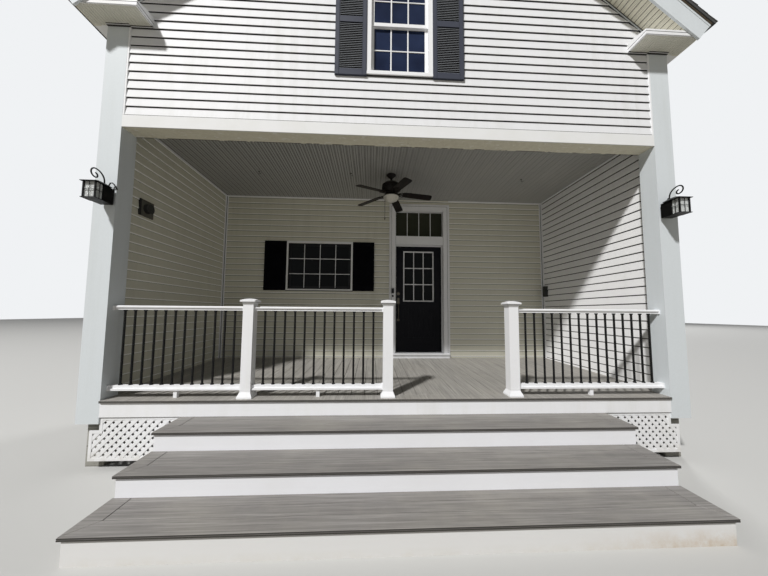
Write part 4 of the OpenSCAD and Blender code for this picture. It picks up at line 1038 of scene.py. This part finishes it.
def shutter(shape, left, right, y, z, h, fields):
    """A louvred shutter with its back at y. Mark 1 is the slats and the board behind, mark 2 their noses; on
    the upper pair mark 1 takes painted shade and mark 2 a painted highlight.
    """
    front_y, board = y - SHUTTER_T, y - 0.0165
    for edge, way in ((left, 1), (right, -1)):
        for a, b, set_back in ((0, BEAD, 0.003), (BEAD, STILE - BEAD, 0), (STILE - BEAD, STILE, 0.004)):
            shape.box((edge + way * a, front_y + set_back, z), (edge + way * b, y, z + h))
    left, right = left + STILE, right - STILE
    field = (h - SHUTTER_RAIL * (fields + 1)) / fields
    for n in range(fields + 1):
        foot = z + n * (field + SHUTTER_RAIL)
        shape.box((left, front_y + 0.002, foot), (right, y, foot + SHUTTER_RAIL))
    shape.box((left, board, z + SHUTTER_RAIL), (right, y, z + h - SHUTTER_RAIL)).mark(1, 6)
    slats = round(field / SLAT_PITCH)
    pitch = field / slats
    nose = front_y + 0.006
    for n in range(fields):
        for k in range(slats):
            foot = z + SHUTTER_RAIL + n * (field + SHUTTER_RAIL) + k * pitch
            slat = [(nose, foot), (nose, foot + SLAT_EDGE)]
            slat += [(board, foot + pitch - 0.001), (board, foot + pitch * 0.6)]
            shape.along_x(slat, left, right).mark(1, 6).mark(2, 4, [0])


# The lower pair is dark paint darkened further with painted shade, to near-black
for name, window, y, width, lap, fields, looks in (
    ("lower", LOW_WINDOW, BACK_Y, 0.412, 0.005, 1, (low_shutter_shaded_paint, low_shutter_shaded_paint, low_slat_nose_shaded)),
    ("upper", HIGH_WINDOW, GABLE_Y, 0.362, 0.020, 2, (shutter_paint, slat_shade, slat_nose_highlight)),
):
    x0, x1, z0, z1 = window
    pair = Shape()
    for left in (x0 - width, x1):
        shutter(pair, left, left + width, y, z0 - lap, z1 - z0 + 2 * lap, fields)
    piece(f"{name}_louvres", pair, "black_shutter", *looks, bevel=0.001, replaces=[f"{name}_shutters"])

# Railing
collars = Shape()
brackets = Shape()
brim_shadows = Shape()
rail_deck = deck_top(RAIL_Y)
for a, b in RAIL_SPANS:
    bays = ceil((b - a) / BALUSTER_PITCH)
    for i in range(1, bays):
        x = a + i * (b - a) / bays
        for z, way in ((rail_deck + 0.129, 1), (rail_deck + 0.910, -1)):
            profile = ((0.0175, 0), (0.0175, 0.008), (0.0145, 0.014), (0.0114, 0.015))
            collars.lathe([(r, h * way) for r, h in profile], (x, RAIL_Y, z), 16)
for x in POSTS:
    for half, z in ((0.0575, 1.664), (0.0565, 0.762)):
        brackets.band(x, RAIL_Y, half, half, z, z + 0.003)
    # A painted shadow ring under each post cap's brim
    brim_shadows.band(x, RAIL_Y, 0.0662, 0.0662, 1.6805, 1.6848)
for a, b in RAIL_SPANS:
    for x0, x1 in ((a, a + 0.012), (b, b - 0.012)):
        for low, high in ((0.905, 0.951), (0.074, 0.132)):
            brackets.box((x0, RAIL_Y - 0.037, rail_deck + low), (x1, RAIL_Y + 0.037, rail_deck + high))
piece("baluster_collars", collars, "black_iron", iron, smooth=True)
piece("rail_brackets", brackets, "white_trim", trim, bevel=0.002)
piece("cap_shadow_lines", brim_shadows, "white_trim", lap_shadow)

# Lanterns
LAMP_X = HALF_OPENING + 0.066
LAMP_Y = FACE_Y - 0.165
LAMP_Z = DECK_Z + 2.088
CAGE_FOOT, CAGE_TOP = LAMP_Z - 0.079, LAMP_Z + 0.079
SCROLL = (
    (0.014, 0.030, 0.070), (0.016, 0.030, 0.120), (0.026, 0.028, 0.146), (0.042, 0.024, 0.150),
    (0.058, 0.018, 0.134), (0.072, 0.010, 0.104), (0.078, 0.004, 0.086),
)
BULB = ((0.008, 0), (0.012, 0.012), (0.017, 0.032), (0.017, 0.048), (0.011, 0.066), (0.002, 0.080))
lamps = Shape()
bulbs = Shape()
for side in SIDES:
    x = side * LAMP_X
    lamps.lathe([(0.014, 0), (0.014, 0.006), (0.009, 0.010), (0.009, 0.026)], (x, LAMP_Y, CAGE_FOOT), 16)
    bulbs.lathe(BULB, (x, LAMP_Y, CAGE_FOOT + 0.026), 20)
    lamps.band(x, LAMP_Y, 0.0605, 0.0455, LAMP_Z - 0.002, LAMP_Z + 0.002)
    lamps.box((x - 0.002, LAMP_Y - 0.0455, CAGE_FOOT), (x + 0.002, LAMP_Y - 0.0415, CAGE_TOP))
    for way in SIDES:
        lamps.box((x + way * 0.0565, LAMP_Y - 0.002, CAGE_FOOT), (x + way * 0.0605, LAMP_Y + 0.002, CAGE_TOP))
    lamps.tube([(x + u, FACE_Y - v, LAMP_Z + h) for u, v, h in SCROLL], 0.006)
piece("lantern_details", lamps, "black_iron", iron)
piece("lantern_bulbs", bulbs, "frosted_glass", milk_glass, smooth=True)

# Ceiling fan, with its blades hanging a little and pitched
HUB_HALF = 0.011
HUB_R = 0.095
HUB_BORE = 0.02205
BLADES = 5
BLADE_TILT = Matrix.Rotation(radians(5.5), 4, "Y") @ Matrix.Rotation(radians(-12), 4, "X")
CHAIN = (FAN_X - 0.100, FAN_Y - 0.02)
CHAIN_FOOT = 3.096


def blade(shape):
    edge = [(0.185, 0.040), (0.215, 0.058), (0.300, 0.063), (0.610, 0.0675), (0.642, 0.061), (0.656, 0.042)]
    shape.along_z(edge + [(u, -v) for u, v in reversed(edge)], 0, 0.007)


def arm(shape):
    """The iron that holds a blade: a bar between two scrolled loops, and a plate with three screws."""
    shape.box((HUB_R - 0.012, -0.017, -0.006), (0.250, 0.017, -0.0002))
    for way in SIDES:
        loop = (
            (0.090, 0.012, -0.004), (0.120, 0.020, -0.006), (0.150, 0.042, -0.005), (0.185, 0.050, -0.004),
            (0.215, 0.036, -0.004), (0.222, 0.016, -0.004), (0.205, 0.006, -0.004),
        )
        shape.tube([(u, way * v, h) for u, v, h in loop], 0.006)
    plate = [(0.190, -0.030), (0.205, -0.044), (0.262, -0.026)]
    plate += [(0.285, 0)] + [(u, -v) for u, v in reversed(plate)]
    shape.along_z(plate, -0.005, -0.0005)
    for u, v in ((0.215, -0.026), (0.215, 0.026), (0.262, 0)):
        shape.lathe([(0.007, -0.004), (0.007, -0.006), (0.003, -0.009)], (u, v, -0.001), 12)


def circle(r, z, points=48):
    turns = [tau * n / points for n in range(points)]
    return [(FAN_X + r * cos(t), FAN_Y + r * sin(t), z) for t in turns]


arms = Shape()
leaves = Shape()
rim = HUB_R - 0.003
hub = [(HUB_BORE, -HUB_HALF), (rim, -HUB_HALF), (HUB_R, -HUB_HALF + 0.003), (HUB_R, HUB_HALF - 0.003)]
hub += [(rim, HUB_HALF), (HUB_BORE, HUB_HALF), (HUB_BORE, -HUB_HALF)]
arms.lathe(hub, (FAN_X, FAN_Y, HUB_Z), 48, ends=False)
hub_place = Matrix.Translation((FAN_X, FAN_Y, HUB_Z))
for i in range(BLADES):
    turn = hub_place @ Matrix.Rotation(i * tau / BLADES, 4, "Z") @ BLADE_TILT
    leaves.turned(turn, blade)
    arms.turned(turn, arm)
piece(
    "fan_leaves", leaves, "dark_wood", blades, body="fan_rotor",
    bevel=0.002, segments=2, replaces=["fan_blades"],
)
piece("fan_arms", arms, "fan_bronze", bronze, body="fan_rotor", smooth=True, replaces=["fan_hub"])

trimmings = Shape()
for r, rise, radius in ((0.150, 0.066, 0.004), (0.150, 0.091, 0.004), (0.125, -0.054, 0.006)):
    trimmings.tube(circle(r, HUB_Z + rise), radius, closed=True)
z = HUB_Z - 0.064
while z > CHAIN_FOOT:
    ball = [(0.0008, 0.0034), (0.0040, 0.0016), (0.0040, -0.0016), (0.0008, -0.0034)]
    trimmings.lathe(ball, (*CHAIN, z), 8)
    z -= 0.0072
drop = [(0.002, 0), (0.007, -0.010), (0.009, -0.024), (0.006, -0.038), (0.001, -0.045)]
trimmings.lathe(drop, (*CHAIN, CHAIN_FOOT), 14)
piece("fan_trimmings", trimmings, "fan_bronze", bronze, smooth=True)

# Ceiling hooks
hooks = Shape()
for x, y in ((-2.10, 1.34), (-0.65, 1.32), (2.16, 1.35)):
    y += FACE_Y
    hooks.lathe([(0.014, 0), (0.014, -0.003), (0.006, -0.006)], (x, y, CEILING_Z - 0.010), 14)
    path = [(x, y, CEILING_Z - 0.012), (x, y, CEILING_Z - 0.030)]
    for t in [n * pi / 8 for n in range(10)]:
        path.append((x + 0.016 - 0.016 * cos(t), y, CEILING_Z - 0.034 - 0.018 * sin(t)))
    hooks.tube(path, 0.003)
piece("ceiling_hooks", hooks, "black_iron", iron, smooth=True)

# Materials and edge widths of the CAD nodes
for look, names in (
    (block_wall(), "foundation_sides foundation_back deck_piers"),
    # The joists' darkened timber is painted shade for the space under the deck
    (shaded_joist_timber, "deck_joists"),
    (timber(), "upper_floor ridge_board roof_slopes"),
    (lattice_look(), "lattice_left lattice_right"),
    (return_look(), "cornice_returns"),
    (narrow_frame(), "lower_window_frame"),
    (trim, "deck_rim eave_boards door_frame door_sill upper_window_frame rail_posts top_rails bottom_rails"),
    (corner_trim, "corner_posts rake_boards"),
    (soffit, "rake_soffits"),
    (stained_riser(), "step_frames"),
    (peeling_paint(), "header_beam"),
    (
        sided_wall(),
        "side_walls back_wall_left back_wall_right back_wall_over_door gable_wall rear_gable_wall",
    ),
    (ceiling_grey, "porch_ceiling"),
    (deck_wood, "deck_boards"),
    (tread_wood, "treads"),
    (grit, "shingles ridge_cap"),
    (dark_glass(), "window_glass door_glass"),
    (clear_glass(), "lantern_glass"),
    (door_paint, "entry_door"),
    (nickel, "door_hinges"),
    (aged_handle, "door_handle"),
    (low_shutter_shaded_paint, "lower_shutters"),
    (shutter_paint, "upper_shutters"),
    (iron, "balusters lanterns door_bell"),
    (bronze, "fan_mount fan_hub"),
    (blades, "fan_blades"),
    (milk_glass, "fan_light"),
    (fitting_look(), "wall_fittings"),
):
    for name in names.split():
        nodes[name].data.materials.clear()
        nodes[name].data.materials.append(look)
for width, names in (
    (0.001, "door_handle lanterns door_bell"),
    (0.0015, "lower_shutters upper_shutters"),
    (0.002, "top_rails bottom_rails door_frame entry_door wall_fittings"),
    (0.002, "lower_window_frame upper_window_frame"),
    (0.003, "rail_posts door_sill step_frames deck_rim cornice_returns rake_boards"),
    (0.004, "corner_posts header_beam"),
):
    for name in names.split():
        soften(nodes[name], width, 2)


# Floor, light and camera
def seen_rays(graph):
    """1 for the rays that see a surface straight, mirrored or through glass, and 0 for soft bounces."""
    rays = graph.node("LightPath").outputs
    seen = graph.most(rays["Is Camera Ray"], rays["Is Glossy Ray"])
    return graph.most(seen, rays["Is Transmission Ray"])


def floor_look():
    """Pale stage surface that bounces less light than it shows, as dull paving would."""
    look = Look("floor", 0.9)
    look.shade(Base_Color=look.mix(seen_rays(look), "#928e84", "#c0c0be"))
    return look.mat


FLOOR_HALF = 60
mesh = bpy.data.meshes.new("floor")
corners = [(FLOOR_HALF * x, FLOOR_HALF * y, 0) for x, y in ((-1, -1), (1, -1), (1, 1), (-1, 1))]
mesh.from_pydata(corners, [], [(0, 1, 2, 3)])
mesh.materials.append(floor_look())
show("floor", mesh)

world = bpy.data.worlds.new("studio")
scene.world = world
world.use_nodes = True
studio = Graph(world.node_tree)
studio.tree.nodes.clear()
blend = studio.node("MixShader", Fac=seen_rays(studio))
for slot, colour, strength in ((1, "#ffffff", 0.15), (2, "#f0f2f4", 1)):
    light = studio.node("Background", Color=colour, Strength=strength)
    studio.feed(blend.inputs[slot], light.outputs[0])
studio.node("OutputWorld", Surface=blend.outputs[0])

AIM = Vector((0, 0, 3))
TO_KEY = Vector((-0.431, -0.576, 0.694)) * 60
TO_FILL = Vector((34, 44, 24))
for name, way, size, watts, rgb in (
    ("key", TO_KEY, 4, 40500, (1, 0.99, 0.975)), ("fill", TO_FILL, 12, 12000, (1, 1, 1)),
):
    data = bpy.data.lights.new(name, "AREA")
    data.size = size
    data.energy = watts
    data.color = rgb
    lamp = show(name, data)
    lamp.location = AIM + way
    lamp.rotation_euler = (-way).to_track_quat("-Z", "Y").to_euler()

PICTURE_W = 768
FOCAL_PX = 272.99
MIDDLE_SHIFT_PX = 5.45
CAMERA = (-0.2958, -3.630, 1.5816)
YAW = radians(2.582)
RISE = radians(3.992)
ROLL = radians(-0.433)
data = bpy.data.cameras.new("camera")
camera = show("camera", data)
data.sensor_width = 36
data.lens = 36 * FOCAL_PX / PICTURE_W
data.shift_y = MIDDLE_SHIFT_PX / PICTURE_W
data.clip_start = 0.05
turn = Matrix.Rotation(-YAW, 4, "Z") @ Matrix.Rotation(pi / 2 + RISE, 4, "X")
camera.matrix_world = Matrix.Translation(CAMERA) @ turn @ Matrix.Rotation(-ROLL, 4, "Z")
scene.camera = camera
scene.view_settings.view_transform = "Standard"
